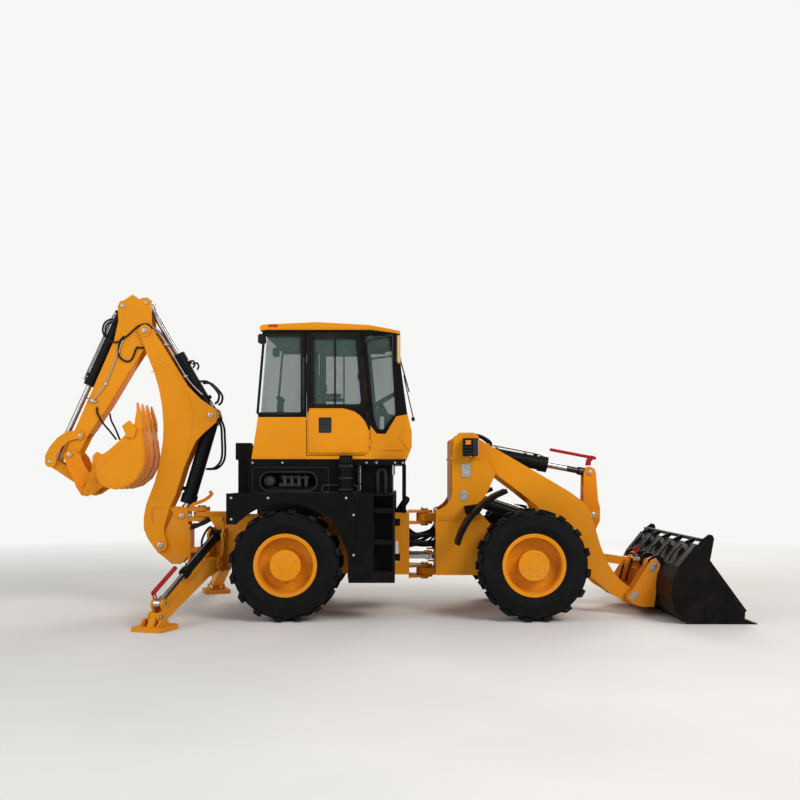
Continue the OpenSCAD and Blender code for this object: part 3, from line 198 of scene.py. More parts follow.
def metal(name, color, rough, streak=60.0, metallic=1.0, black_from=None):
    """Bare metal with a fine grain. A rod is black from the X called black_from on."""
    s = Shade(name, color, rough, metallic=metallic)
    fine = s.noise(streak, 6.0, 0.65)
    tone = s.ramp(fine, 0.3, 0.75, scaled(color, 0.78), scaled(color, 1.08))
    if black_from:
        black = s.math("GREATER_THAN", s.axis("X"), black_from)
        tone = s.mix(black, tone, (0.008, 0.0085, 0.009))
        s.link(s.math("SUBTRACT", 1.0, black), "Metallic")
    s.link(tone, "Base Color")
    s.link(s.grey(fine, 0.3, 0.7, rough * 0.7, rough * 1.5), "Roughness")
    s.bump(fine, 0.02, 0.0002)
    return s.mat


def plastic(name, color, rough, grain=420.0):
    s = Shade(name, color, rough)
    fine = s.noise(grain, 3.0)
    s.link(s.ramp(s.noise(3.0, 6.0), 0.35, 0.7, scaled(color, 0.8), scaled(color, 1.35)), "Base Color")
    s.link(s.grey(s.noise(9.0, 5.0), 0.3, 0.7, rough * 0.8, rough * 1.2), "Roughness")
    s.bump(fine, 0.12, 0.001)
    return s.mat


def tyre_rubber(name, centre):
    """Black rubber with moulded rings round the wheel's axis and dust in the tread."""
    rubber = (0.0065, 0.0068, 0.0075)
    s = Shade(name, rubber, 0.72)
    off = s.node("ShaderNodeVectorMath", {0: s.coords, 1: tuple(centre)}, operation="SUBTRACT").outputs[0]
    flat = s.node("ShaderNodeVectorMath", {0: off, 1: (1, 0, 1)}, operation="MULTIPLY").outputs[0]
    radius = s.node("ShaderNodeVectorMath", {0: flat}, operation="LENGTH").outputs["Value"]
    rings = s.math("SINE", s.math("MULTIPLY", radius, 310.0))
    side = s.math("LESS_THAN", radius, 0.47)
    rim_side = s.math("GREATER_THAN", radius, 0.41)
    groove = s.math("MULTIPLY", s.math("MULTIPLY", side, rim_side), rings)
    dirt = s.grey(s.noise(12.0, 9.0, 0.7), 0.48, 0.75)
    outer = s.grey(radius, 0.46, 0.53, 0.12, 0.75)
    s.link(s.mix(s.math("MULTIPLY", dirt, outer), rubber, (0.045, 0.04, 0.035)), "Base Color")
    s.link(s.grey(s.noise(30.0, 5.0), 0.3, 0.7, 0.58, 0.86), "Roughness")
    s.bump(s.math("ADD", s.math("MULTIPLY", groove, 0.8), s.noise(160.0, 4.0)), 0.35, 0.003)
    return s.mat


YELLOW = (0.74, 0.27, 0.008)
ENAMEL = (0.0042, 0.004, 0.004)
CHROME = (0.5, 0.51, 0.53)
M = {
    "yellow": paint("loader_yellow", YELLOW),
    "orange": paint("hitch_yellow", (0.76, 0.235, 0.006)),
    "frame_yellow": paint("frame_yellow", (0.7, 0.25, 0.006), dust_amount=0.34),
    "black": paint("black_enamel", ENAMEL, rough=0.46, dust=(0.024, 0.019, 0.015),
                   dust_amount=0.4, wear_color=(0.09, 0.085, 0.08)),
    "door": paint("door_enamel", ENAMEL, wear=0.2, lower=YELLOW),
    # The mirror's pale cream is painted sunlight: a paler copy of the paint in place of its lit front face.
    "cream": paint("mirror_cream", (0.62, 0.42, 0.2)),
    "bucket": paint("bucket_black", (0.0048, 0.004, 0.004), rough=0.44, dust=(0.035, 0.027, 0.022),
                    wear=0.8, wear_color=(0.2, 0.19, 0.18)),
    "barrel": paint("ram_black", (0.008, 0.0085, 0.009), rough=0.3, dust_amount=0.12,
                    dust=(0.06, 0.055, 0.05), wear=0.2, wear_color=(0.08, 0.08, 0.08)),
    "red": paint("lock_red", (0.42, 0.014, 0.018), rough=0.3, dust_amount=0.15, wear=0.4),
    "chrome": metal("chrome_rod", CHROME, 0.2, 14.0),
    "tilt_rod": metal("tilt_rod_chrome", CHROME, 0.2, 14.0, black_from=1.9),
    "steel": metal("zinc_steel", (0.5, 0.5, 0.48), 0.36),
    "engine": metal("engine_casting", (0.045, 0.05, 0.052), 0.55, 40.0, metallic=0.35),
    "hose": plastic("hose_rubber", (0.016, 0.016, 0.017), 0.5, 300.0),
    "trim": plastic("cab_plastic", (0.03, 0.03, 0.033), 0.6),
    "seal": plastic("door_seal", (0.012, 0.012, 0.013), 0.7, 200.0),
    "seat": plastic("seat_fabric", (0.035, 0.036, 0.04), 0.9, 700.0),
    "panel": plastic("roof_lining", (0.05, 0.055, 0.055), 0.75, 350.0),
    "wear_steel": metal("tooth_steel", (0.3, 0.28, 0.26), 0.45, 70.0, metallic=0.8),
}


def glass(name, color, alpha, rough=0.05):
    s = Shade(name, color, rough, alpha=alpha)
    s.link(s.ramp(s.noise(2.0, 3.0), 0.3, 0.7, scaled(color, 0.95), scaled(color, 1.04)), "Base Color")
    s.link(s.grey(s.noise(4.0, 6.0), 0.35, 0.8, rough * 0.6, rough * 2.4), "Roughness")
    return s.mat


M["glass"] = glass("cab_glass_tint", (0.10, 0.155, 0.135), 0.34)
M["lens"] = glass("lamp_lens", (0.82, 0.85, 0.86), 0.85, 0.12)
M["lens_red"] = glass("lamp_red", (0.62, 0.03, 0.01), 0.95, 0.15)
M["lens_amber"] = glass("lamp_amber", (0.8, 0.25, 0.01), 0.95, 0.15)


# ---- Geometry helpers
class Piece:
    """Collects solids in one mesh, then rides on a body."""

    def __init__(self, name, body, look, slot):
        self.name, self.body, self.mat, self.slot = name, body, M[look], slot
        self.verts, self.faces = [], []

    def add(self, points, faces):
        n = len(self.verts)
        self.verts += [tuple(p) for p in points]
        self.faces += [tuple(i + n for i in f) for f in faces]
        return self

    def rings(self, loops, closed=False):
        """Faces between loops of points, with an end cap each or joined in a ring."""
        n = len(loops[0])
        faces = []
        count = len(loops)
        for i in range(count if closed else count - 1):
            j = (i + 1) % count
            faces += [(i * n + k, i * n + (k + 1) % n, j * n + (k + 1) % n, j * n + k) for k in range(n)]
        if not closed:
            faces += [tuple(range(n - 1, -1, -1)), tuple((count - 1) * n + k for k in range(n))]
        return self.add([p for loop in loops for p in loop], faces)

    def tube(self, points, r, seg=8, steps=5, closed=False, y=0.0):
        """A round hose or pipe through points [x, z] at y, or [x, y, z]."""
        p = [Vector(q) if len(q) == 3 else Vector((q[0], y, q[1])) for q in points]
        path = smooth(p, steps, closed) if steps > 1 else p
        loops, normal = [], None
        count = len(path)
        for i, c in enumerate(path):
            if closed:
                t = (path[(i + 1) % count] - path[i - 1]).normalized()
            else:
                t = (path[min(i + 1, count - 1)] - path[max(i - 1, 0)]).normalized()
            if normal is None:
                normal = t.orthogonal().normalized()
            else:
                normal = (normal - t * normal.dot(t)).normalized()
            side = t.cross(normal)
            loops.append([at(*(c + (normal * math.cos(a) + side * math.sin(a)) * r)) for a in angles(seg)])
        return self.rings(loops, closed)

    def side_tube(self, side, points, *rest):
        """A tube whose Y values are distances from the middle, on one side."""
        return self.tube([(x, side * y, z) for x, y, z in points], *rest)

    def turned(self, p0, p1, profile, seg=20, closed=False):
        """Rings of (distance along, radius) about the line from p0 towards p1."""
        p0, p1 = Vector(p0), Vector(p1)
        t = (p1 - p0).normalized()
        u = t.orthogonal().normalized()
        v = t.cross(u)
        loops = [[at(*(p0 + t * d + (u * math.cos(a) + v * math.sin(a)) * r)) for a in angles(seg)]
                 for d, r in profile]
        return self.rings(loops, closed)

    def disc(self, p, axis, profile, seg=20, closed=False):
        """The same, standing on p along a unit axis."""
        return self.turned(p, Vector(p) + Vector(axis), profile, seg, closed)

    def bar(self, p0, p1, r, seg=16, chamfer=2.0):
        length = (Vector(p1) - Vector(p0)).length
        c = min(chamfer, r * 0.4, length * 0.4)
        return self.turned(p0, p1, [(0, r - c), (c, r), (length - c, r), (length, r - c)], seg)

    def block(self, low, high, c=3.0):
        """A box with chamfered edges along X."""
        (x0, y0, z0), (x1, y1, z1) = low, high
        c = min(c, (y1 - y0) * 0.3, (z1 - z0) * 0.3, (x1 - x0) * 0.3)

        def loop(x, d):
            a, b, e, f = y0 + d, y1 - d, z0 + d, z1 - d
            return [at(x, *q) for q in ((a + c, e), (b - c, e), (b, e + c), (b, f - c),
                                        (b - c, f), (a + c, f), (a, f - c), (a, e + c))]

        return self.rings([loop(x0, c), loop(x0 + c, 0), loop(x1 - c, 0), loop(x1, c)])

    def side_block(self, side, low, high, c=3.0):
        """A block whose Y values are distances from the middle, on one side."""
        y0, y1 = side_y(side, low[1], high[1])
        return self.block((low[0], y0, low[2]), (high[0], y1, high[2]), c)

    def prism(self, outline, y0, y1, c=1.5):
        """An outline of [x, z] points between two Y values, its outer rims chamfered."""
        area = sum(a[0] * b[1] - b[0] * a[1] for a, b in zip(outline, outline[1:] + outline[:1]))
        pts = outline if area > 0 else outline[::-1]
        small = shrink(pts, c)
        return self.rings([[at(x, y, z) for x, z in loop] for loop, y in
                           ((small, y0), (pts, y0 + c), (pts, y1 - c), (small, y1))][::-1])

    def strip(self, points, w, y0, y1):
        """A flat strip of width w that follows points [x, z]."""
        left, right = [], []
        for i, p in enumerate(points):
            a, b = points[max(i - 1, 0)], points[min(i + 1, len(points) - 1)]
            d = math.hypot(b[0] - a[0], b[1] - a[1])
            n = (-(b[1] - a[1]) / d * w / 2, (b[0] - a[0]) / d * w / 2)
            left.append((p[0] + n[0], p[1] + n[1]))
            right.append((p[0] - n[0], p[1] - n[1]))
        loops = [[at(l[0], y0, l[1]), at(r[0], y0, r[1]), at(r[0], y1, r[1]), at(l[0], y1, l[1])]
                 for l, r in zip(left, right)]
        return self.rings(loops)

    def bolt(self, p, axis, r=12.0, h=9.0):
        """A hexagon head with a washer, standing on p along a unit axis."""
        self.disc(p, axis, [(-1, r * 1.35), (h * 0.25, r * 1.35), (h * 0.3, r * 1.25)], 14)
        return self.disc(p, axis, [(0, r), (h * 0.85, r), (h, r * 0.82)], 6)

    def make(self, smooth_angle=35):
        mesh = bpy.data.meshes.new(self.name)
        mesh.from_pydata(self.verts, [], self.faces)
        mesh.validate()
        mesh.update()
        obj = bpy.data.objects.new(self.name, mesh)
        bpy.context.scene.collection.objects.link(obj)
        mesh.materials.append(self.mat)
        mesh.shade_smooth()
        mesh.set_sharp_from_angle(angle=math.radians(smooth_angle))
        if self.body:
            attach(obj, self.body)
        return obj


def smooth(points, steps, closed=False):
    """Catmull-Rom curve through points."""
    out, n = [], len(points)
    last = n if closed else n - 1
    for i in range(last):
        p0 = points[i - 1] if (i > 0 or closed) else points[0] * 2 - points[1]
        p1, p2 = points[i], points[(i + 1) % n]
        p3 = points[(i + 2) % n] if (i + 2 < n or closed) else points[-1] * 2 - points[-2]
        for k in range(steps):
            t = k / steps
            out.append(0.5 * (2 * p1 + (p2 - p0) * t + (2 * p0 - 5 * p1 + 4 * p2 - p3) * t * t
                              + (3 * p1 - p0 - 3 * p2 + p3) * t ** 3))
    if not closed:
        out.append(points[-1])
    return out


def shrink(points, d):
    """A counter-clockwise outline moved inward by d."""
    out, n = [], len(points)
    for i in range(n):
        a, b, c = points[i - 1], points[i], points[(i + 1) % n]
        u = Vector((b[0] - a[0], b[1] - a[1])).normalized()
        v = Vector((c[0] - b[0], c[1] - b[1])).normalized()
        k = d / max(1 + u.dot(v), 0.35)
        out.append((b[0] - (u.y + v.y) * k, b[1] + (u.x + v.x) * k))
    return out


def traced(view, points):
    """Points [x, z] from pixels of an enlarged view: its top left corner, and millimetres a pixel."""
    (x0, z0), scale = view
    return [(px * scale + x0, z0 - pz * scale) for px, pz in points]


def arc(cx, cz, r, start, end, step=6):
    """Points [x, z] on a circle, by degrees."""
    return [(cx + r * math.cos(math.radians(a)), cz + r * math.sin(math.radians(a)))
            for a in range(start, end, step)]


def rounded(x0, x1, z0, z1, r, steps=4):
    """Outline of a rounded rectangle, counter-clockwise."""
    out = []
    corners = ((x1 - r, z0 + r, -90), (x1 - r, z1 - r, 0), (x0 + r, z1 - r, 90), (x0 + r, z0 + r, 180))
    for cx, cz, a0 in corners:
        out += [(cx + r * math.cos(math.radians(a0 + 90 * k / steps)),
                 cz + r * math.sin(math.radians(a0 + 90 * k / steps))) for k in range(steps + 1)]
    return out


# ---- CAD nodes
def node_paint(node, mat):
    mesh = NODES[node].data
    mesh.materials.clear()
    mesh.materials.append(mat)
    mesh.shade_smooth()
    mesh.set_sharp_from_angle(angle=math.radians(32))


LOOKS = {  # a name that ends in _ stands for a right and a left node
    "frame_yellow": ["rear_frame", "rear_axle", "front_axle", "swing_post", "pad_"],
    "yellow": ["cab_body", "cab_roof", "boom", "dipper", "dig_rocker", "dig_link", "leg_", "front_frame",
               "loader_arms", "tilt_link", "rim_front_", "rim_rear_", "dig_bucket"],
    "orange": ["bellcrank", "loader_hitch", "dig_hitch"],
    "black": ["engine_cover", "rear_fenders", "cab_pillars", "front_fenders", "headlamps"],
    "door": ["door_"],
    "bucket": ["loader_bucket"],
    "barrel": ["boom_barrel", "dipper_barrel", "dig_barrel", "leg_barrel_", "lift_barrels", "tilt_barrel",
               "steering_barrel_"],
    "chrome": ["boom_rod", "dipper_rod", "dig_rod", "leg_rod_", "lift_rods", "steering_rod_"],
    "tilt_rod": ["tilt_rod"],
    "glass": ["cab_glass", "door_glass_"],
    "engine": ["engine"],
    "trim": ["seat_and_controls"],
}
for look, names in LOOKS.items():
    for name in names:
        for node in (name + "right", name + "left") if name.endswith("_") else (name,):
            node_paint(node, M[look])

WHEELS = {"front_right": (FRONT_AXLE, NEAR), "front_left": (FRONT_AXLE, FAR),
          "rear_right": (REAR_AXLE, NEAR), "rear_left": (REAR_AXLE, FAR)}
for name, (x, side) in WHEELS.items():
    node_paint("tyre_" + name, tyre_rubber("rubber_" + name, at(x, 0, TYRE_R)))

# ---- Wheels
DISC_BOLTS, HUB_BOLTS = (178, 30), (110, 159)  # circle's radius, distance out from the tyre's middle
HUB_CAP = [(0, 130), (0, 148), (9, 148), (12, 144), (12, 66), (14, 64), (14, 58), (17, 56), (17, 30),
           (20, 28), (20, 0.5)]
RIM_RING = [(0, 286), (0, 303), (8, 304), (11, 300), (11, 286), (8, 283)]
for name, (x, side) in WHEELS.items():
    body = "wheel_" + name
    nuts = Piece("nuts_" + name, body, "frame_yellow", "yellow")
    hub = Piece("hub_" + name, body, "yellow", "yellow")
    for (r, out), count, start, nut in ((DISC_BOLTS, 12, 0.0, (9, 9)), (HUB_BOLTS, 8, 0.5, (7, 6))):
        for a in angles(count, start):
            spot = (x + r * math.cos(a), side * (HALF_TRACK + out), TYRE_R + r * math.sin(a))
            nuts.bolt(spot, (0, side, 0), *nut)
    hub.disc((x, side * (HALF_TRACK + 148), TYRE_R), (0, side, 0), HUB_CAP, 40)
    hub.disc((x, side * (HALF_TRACK + 162), TYRE_R), (0, side, 0), RIM_RING, 72, True)
    nuts.bar((x + 226, side * (HALF_TRACK + 24), TYRE_R), (x + 226, side * (HALF_TRACK + 96), TYRE_R), 6, 8)
    nuts.make()
    hub.make()

# ---- Pins with keeper plates
PIN_SPOTS = [
    # name, body, x, z, half width, radius
    ("boom_foot", "boom", -2731, 675, 159, 30), ("boom_hump", "boom", -2209, 2022, 155, 28),
    ("boom_top", "boom", -2893, 2894, 159, 26), ("post_ram", "swing_post", -2515, 976, 119, 27),
    ("dipper_top", "dipper", -2884, 3192, 104, 20), ("dig_base", "dipper", -3133, 3160, 104, 20),
    ("rocker_base", "dipper", -3567, 1806, 128, 20), ("rocker_link", "dig_rocker", -3876, 1535, 128, 18),
    ("hitch_dipper", "dig_hitch", -3665, 1610, 170, 24), ("crank_top", "bellcrank", 1717, 1427, 110, 24),
    ("crank_low", "bellcrank", 1440, 600, 110, 22), ("crank_hub", "loader_arms", 1732, 988, 180, 28),
]
for name, body, x, z, half, r in PIN_SPOTS:
    caps = Piece("pin_" + name, body, "steel", "chrome")
    for side in (NEAR, FAR):
        caps.disc((x, side * (half - 1), z), (0, side, 0),
                  [(0, r), (7, r), (9, r - 3), (9, r * 0.45), (6, r * 0.4), (6, 0.5)], 24)
        caps.disc((x, side * half, z), (0, side, 0), [(0, 7), (12, 7), (14, 4)], 10)
    caps.make()


def keeper(name, body, low, high, y, side, angle=0.0):
    """A zinc plate on a face, with two bolts, turned about its middle."""
    cx, cz = (low[0] + high[0]) / 2, (low[1] + high[1]) / 2
    ca, sa = math.cos(math.radians(angle)), math.sin(math.radians(angle))

    def turn(px, pz):
        return cx + (px - cx) * ca - (pz - cz) * sa, cz + (px - cx) * sa + (pz - cz) * ca

    p = Piece(name, body, "steel", "chrome")
    outline = [turn(*q) for q in rounded(low[0], high[0], low[1], high[1], 8, 2)]
    p.prism(outline, *side_y(side, y - 0.5, y + 9))
    tall = high[1] - low[1] > high[0] - low[0]
    for f in (0.25, 0.75):
        q = turn(cx, low[1] + (high[1] - low[1]) * f) if tall else turn(low[0] + (high[0] - low[0]) * f, cz)
        p.bolt((q[0], side * (y + 9), q[1]), (0, side, 0), 10, 9)
    return p.make()


for side, hand in BOTH:
    keeper("keeper_high_" + hand, "front", (361, 1380), (456, 1510), 461, side)
    keeper("keeper_low_" + hand, "front", (352, 1140), (422, 1245), 461, side)
    keeper("keeper_hitch_top_" + hand, "loader_hitch", (2240, 440), (2296, 545), 560, side, -38)
    keeper("keeper_hitch_low_" + hand, "loader_hitch", (2042, 150), (2096, 250), 560, side, -42)

# ---- Tower, lamps and front body
for side, hand in BOTH:
    ys = side_y(side, 461, 466)
    ribs = Piece("tower_folds_" + hand, "front", "yellow", "yellow")
    for line in ([(278, 1572), (592, 1572)], [(255, 440), (255, 950)],
                 [(400, 440), (400, 950)], [(255, 440), (400, 440)]):
        ribs.strip(line, 12, *ys)
    ribs.strip([(140, 978), (545, 978)], 10, *ys)
    ribs.make()
    Piece("headlamp_lens_" + hand, "front", "lens", "glass").prism(
        [(516, 1605), (523, 1612), (523, 1744), (516, 1751)], *side_y(side, 492, 600)).make()
    shell = Piece("headlamp_shell_" + hand, "front", "trim", "black")
    for z in (1590, 1754):
        shell.side_block(side, (468, 481, z), (520, 611, z + 10))
    for y in (483, 609):
        shell.block((468, side * y - 5, 1594), (520, side * y + 5, 1760))
    for z in range(1606, 1766, 32):
        shell.side_block(side, (378, 611, z), (462, 614, z + 10), 1)
    shell.make()
    Piece("turn_lamp_" + hand, "front", "lens_amber", "glass").side_block(
        side, (395, 611, 1700), (448, 617, 1744)).make()

fender = Piece("fender_stays", "front", "black", "black")
for side in (NEAR, FAR):
    for y in (655, 1030):
        fender.tube(arc(FRONT_AXLE, TYRE_R, 758, 112, 165), 9, 6, 2, y=side * y)
    fender.side_tube(side, [(470, 462, 1060), (470, 560, 1062), (462, 640, 1058)], 15, 8, 3)
    for k in range(3):
        fender.bolt((430 + 40 * k, side * 466, 1040), (0, side, 0), 8, 7)
fender.make()

# ---- Loader arms, rams and hoses
pipes = Piece("tilt_pipes", "tilt_barrel", "steel", "chrome")
for y in (-38, 38):
    pipes.tube([(620, y, 1720), (720, y, 1711), (1000, y, 1660), (1190, y, 1622), (1240, y, 1602)], 9, 8, 3)
for x, z in ((760, 1690), (1060, 1634)):
    pipes.block((x - 12, -56, z - 14), (x + 12, 56, z + 20))
pipes.make()
TILT_HOSES = [
    [(430, -90, 1700), (470, -90, 1800), (560, -80, 1812), (660, -60, 1765), (700, -45, 1722)],
    [(400, 60, 1720), (460, 60, 1815), (570, 55, 1806), (640, 45, 1768), (690, 40, 1722)],
]
for k, points in enumerate(TILT_HOSES):
    h = Piece(f"tilt_hose_{k}", None, "hose", "black").tube(points, 15, 10, 5)
    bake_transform(h.make())
lift_pipes = Piece("lift_pipes", "lift_barrels", "steel", "chrome")
for side in (NEAR, FAR):
    lift_pipes.side_tube(side, [(520, 330, 1226), (620, 335, 1190), (1060, 335, 1040), (1095, 310, 1020)],
                         8, 8, 3)
lift_pipes.make()
black_rod = Piece("tilt_rod_sleeve", "tilt_rod", "barrel", "black")
base, tip = Vector((542, 0, 1650)), Vector((1717, 0, 1427))
along = (tip - base).normalized()
black_rod.turned(base + along * 1077, tip, [(0, 36), (5, 42), (58, 42), (63, 37)], 24)
black_rod.make()
lock = Piece("lift_lock_bar", "tilt_rod", "red", "yellow")
lock.tube([(1315, 0, 1668), (1796, 0, 1576)], 17, 12, 1)
for y in (-26, 26):
    lock.prism([(1690, 1500), (1700, 1560), (1740, 1606), (1775, 1598), (1770, 1566), (1742, 1540),
                (1738, 1500)], y - 4, y + 4)
lock.bar((1756, -34, 1584), (1756, 34, 1584), 8)
lock.make()

arm_pins = Piece("arm_pins", "loader_arms", "steel", "chrome")
arm_hose = Piece("arm_hoses", "loader_arms", "hose", "black")
for side in (NEAR, FAR):
    arm_pins.disc((1254, side * 440, 896), (0, side, 0), [(0, 34), (8, 34), (10, 30), (10, 0.5)], 24)
    for q in ((455, 1590), (415, 1560)):
        arm_pins.bolt((q[0], side * 475, q[1]), (0, side, 0), 9, 8)
for y in (-350, -325):
    arm_hose.tube([(560, y, 1560), (800, y, 1430), (1130, y, 1210), (1420, y, 1040), (1600, y, 860),
                   (1720, y, 620), (1800, y, 470), (1850, y, 400)], 13, 8, 4)
arm_hose.make()
for x, z in ((800, 1430), (1130, 1210), (1600, 860), (1740, 590)):
    arm_pins.block((x - 16, -372, z - 18), (x + 16, -308, z + 18))
arm_pins.make()
weld = Piece("arm_welds", "loader_arms", "yellow", "yellow")
for side in (NEAR, FAR):
    weld.strip([(1560, 690), (1700, 820), (1735, 905)], 9, *side_y(side, 430, 433))
weld.make()

hitch = Piece("hitch_pipes", "loader_hitch", "hose", "black")
for y, bend in ((-150, 40), (-115, 15), (150, 40)):
    hitch.tube([(2080, y, 300), (2110, y, 380 + bend), (2160, y, 520 + bend), (2230, y, 560), (2262, y, 520)],
               11, 8, 4)
hitch.make()
levers = Piece("hitch_levers", "loader_hitch", "red", "yellow")
for y in (-190, -120):
    ring = [(2180 + 20 * math.cos(a), y, 640 + 22 * math.sin(a)) for a in angles(10)]
    levers.tube(ring, 4, 6, 1, closed=True)
    levers.bar((2180, y, 560), (2180, y, 620), 5, 8)
levers.make()
valve = Piece("hitch_valve", "loader_hitch", "steel", "chrome")
valve.block((2140, -215, 520), (2215, -95, 556), 5)
for y in (-190, -120):
    valve.bar((2180, y, 552), (2180, y, 580), 11, 12)
valve.make()

# Bucket: cutting edge, corner gussets, welded ribs on the back
edge = Piece("bucket_edge", "loader_hitch", "wear_steel", "black")
edge.prism([(2900, 17), (2900, 31), (2975, 30), (3104, 9), (3104, 2)], -1125, 1125)
for k in range(9):
    edge.bolt((2935, -1000 + 250 * k, 31), (0, 0, 1), 13, 7)
edge.make()
seams = Piece("bucket_seams", "loader_hitch", "bucket", "black")
for side in (NEAR, FAR):
    ys = side_y(side, 1134.5, 1139)
    seams.strip([(2541, 745), (2610, 640), (2990, 118)], 26, *ys)
    seams.strip([(2560, 700), (2585, 760), (2620, 800)], 8, *ys)
for y in (-820, -410, 0, 410, 820):
    seams.prism([(2352, 560), (2400, 640), (2480, 726), (2470, 738), (2384, 650), (2338, 572)], y - 7, y + 7)
seams.make()

# ---- Cab
DOOR_OUTLINE = [(-1159, 1632), (-1150, 1606), (-1124, 1596), (-590, 1596), (-564, 1604), (-550, 1632),
                (-549, 1700), (-552, 1800), (-562, 1860), (-592, 1926), (-636, 1980), (-696, 2022),
                (-780, 2048), (-1106, 2050), (-1144, 2038), (-1159, 2004)]
DOOR_BULGE = ((0, 749), (5, 751), (9, 756), (14, 763), (24, 768), (40, 770))  # inset, Y
for side, hand in BOTH:
    door = "door_" + hand
    seal = Piece("door_seal_" + hand, door, "seal", "black")
    ys = side_y(side, 748, 753)
    frame_line = [(-1104, 2745), (-1104, 2073), (-640, 2073), (-617, 2110), (-668, 2745)]
    closed = frame_line + frame_line[:1]
    for a, b in zip(closed, closed[1:]):
        seal.strip([a, b], 34, *ys)
    seal.strip([(-1146, 2000), (-1146, 2786)], 22, *ys)
    seal.strip([(-1146, 2776), (-650, 2776)], 22, *ys)
    seal.strip([(-886, 2085), (-886, 2740)], 16, *side_y(side, 724, 742))
    seal.make()
    skin = Piece("door_skin_" + hand, door, "yellow", "yellow")
    skin.rings([[at(x, side * y, z) for x, z in shrink(DOOR_OUTLINE, d)] for d, y in DOOR_BULGE][::side])
    skin.make(60)
    pull = Piece("door_handle_" + hand, door, "trim", "trim")
    pull.prism(rounded(-1044, -917, 1808, 1962, 14), *side_y(side, 764, 771))
    pull.prism(rounded(-1030, -931, 1820, 1880, 10), *side_y(side, 770, 774))
    pull.prism(rounded(-1030, -931, 1890, 1950, 10), *side_y(side, 770, 776))
    pull.make()
    hinges = Piece("door_hinges_" + hand, door, "trim", "trim")
    for x in (-1085, -655):
        hinges.side_block(side, (x - 12, 700, 2330), (x + 12, 722, 2400))
    hinges.make()
    Piece("roof_lamp_" + hand, "rear", "lens_red", "glass").side_block(
        side, (-1535, 722, 2846), (-1447, 731, 2872)).make()
    work = Piece("work_lamps_" + hand, "rear", "trim", "trim")
    bulb = Piece("work_lenses_" + hand, "rear", "lens", "glass")
    x, y = -1622, side * 560
    work.block((x - 34, y - 62, 2705), (x + 34, y + 62, 2795), 12)
    work.bar((x, y, 2790), (x + 25, y, 2822), 9, 8)
    bulb.block((x - 37, y - 54, 2712), (x - 32, y + 54, 2788), 2)
    work.make()
    bulb.make()
    Piece("mirror_glass_" + hand, "rear", "chrome", "chrome").side_block(
        side, (-323, 818, 2482), (-320, 932, 2733), 1).make()
    # The shell's pale cream front is painted sunlight, not a colour of its own.
    Piece("mirror_shell_" + hand, "rear", "cream", "yellow").side_block(
        side, (-286, 814, 2476), (-246, 936, 2739), 16).make()
    arm = Piece("mirror_arms_" + hand, "rear", "trim", "black")
    arm.side_tube(side, [(-588, 762, 2700), (-540, 778, 2712), (-318, 850, 2752)], 9, 8, 2)
    arm.side_tube(side, [(-318, 850, 2752), (-312, 862, 2742), (-306, 868, 2700)], 8, 8, 2)
    arm.side_block(side, (-596, 748, 2680), (-570, 772, 2722), 4)
    arm.make()
    grab = Piece("grab_rails_" + hand, "rear", "trim", "trim")
    grab.side_tube(side, [(-1190, 752, 2060), (-1190, 792, 2075), (-1190, 792, 2500), (-1190, 752, 2515)],
                   11, 8, 3)
    grab.make()
    line = Piece("cab_creases_" + hand, "rear", "yellow", "yellow")
    ys = side_y(side, 750, 754)
    line.strip([(-1698, 1572), (-1172, 1572)], 12, *ys)
    line.make()
    seal = Piece("window_seals_" + hand, "rear", "seal", "black")
    quarter = [(-1207, 2765), (-1575, 2765), (-1640, 1998), (-1207, 1998), (-1207, 2765)]
    for a, b in zip(quarter, quarter[1:]):
        seal.strip([a, b], 26, *ys)
    seal.make()

roof = Piece("roof_details", "rear", "seal", "black")
roof.tube([(-1600, -690, 2812), (-560, -690, 2812), (-268, -440, 2812), (-268, 440, 2812), (-560, 690, 2812),
           (-1600, 690, 2812)], 13, 8, 1)
roof.bar((-1060, 0, 2890), (-1060, 0, 2950), 8, 8)
roof.make()
Piece("roof_vent", "rear", "yellow", "yellow").block((-1300, -260, 2868), (-800, 260, 2908), 14).make()
wiper = Piece("wiper_front", "rear", "trim", "trim")
wiper.tube([(-118, -60, 1990), (-128, -90, 2040), (-190, -190, 2300), (-214, -230, 2420)], 6, 6, 3)
wiper.tube([(-160, -240, 2250), (-250, -236, 2580)], 7, 6, 1)
wiper.block((-136, -95, 1962), (-100, -30, 2002), 8)
wiper.make()
nose = Piece("nose_folds", "rear", "yellow", "yellow")
for side in (NEAR, FAR):
    nose.side_tube(side, [(x, 222 - x, 1648) for x in (-430, -320, -212)], 6, 6, 1)
    nose.side_tube(side, [(-262, 484, 1775), (-205, 427, 1700), (-168, 404, 1655)], 7, 6, 2)
nose.make()
lining = Piece("cab_lining", "rear", "panel", "trim")
lining.block((-1530, -690, 2748), (-420, 690, 2764), 6)
lining.block((-420, -420, 2748), (-330, 420, 2764), 6)
lining.make()

# Seat and console
seat = Piece("seat_cushions", "rear", "seat", "trim")
seat.block((-1190, -245, 1988), (-690, 245, 2062), 34)
seat.block((-1205, -235, 2050), (-1110, 235, 2480), 30)
seat.block((-1222, -130, 2490), (-1150, 130, 2620), 26)
for s in (NEAR, FAR):
    seat.block((-1150, s * 285 - 28, 2190), (-850, s * 285 + 28, 2228), 16)
seat.make()
console = Piece("cab_console", "rear", "panel", "trim")
console.block((-560, -420, 1602), (-460, -220, 2060), 24)
console.block((-1560, 300, 1602), (-700, 560, 1930), 26)
console.block((-500, -150, 2020), (-400, 150, 2110), 24)
console.make()
knobs = Piece("lever_knobs", "rear", "trim", "trim")
for y in (-180, -60, 60, 180):
    knobs.disc((-1505, y, 2168), (0, 0, 1), [(0, 9), (10, 20), (30, 26), (46, 18), (52, 5)], 14)
steering_rim = [(-463 - 166 * math.sin(a) * 0.872, 186 * math.cos(a), 2160 - 91 * math.sin(a))
                for a in angles(28)]
knobs.tube(steering_rim, 13, 8, 1, closed=True)
knobs.make()

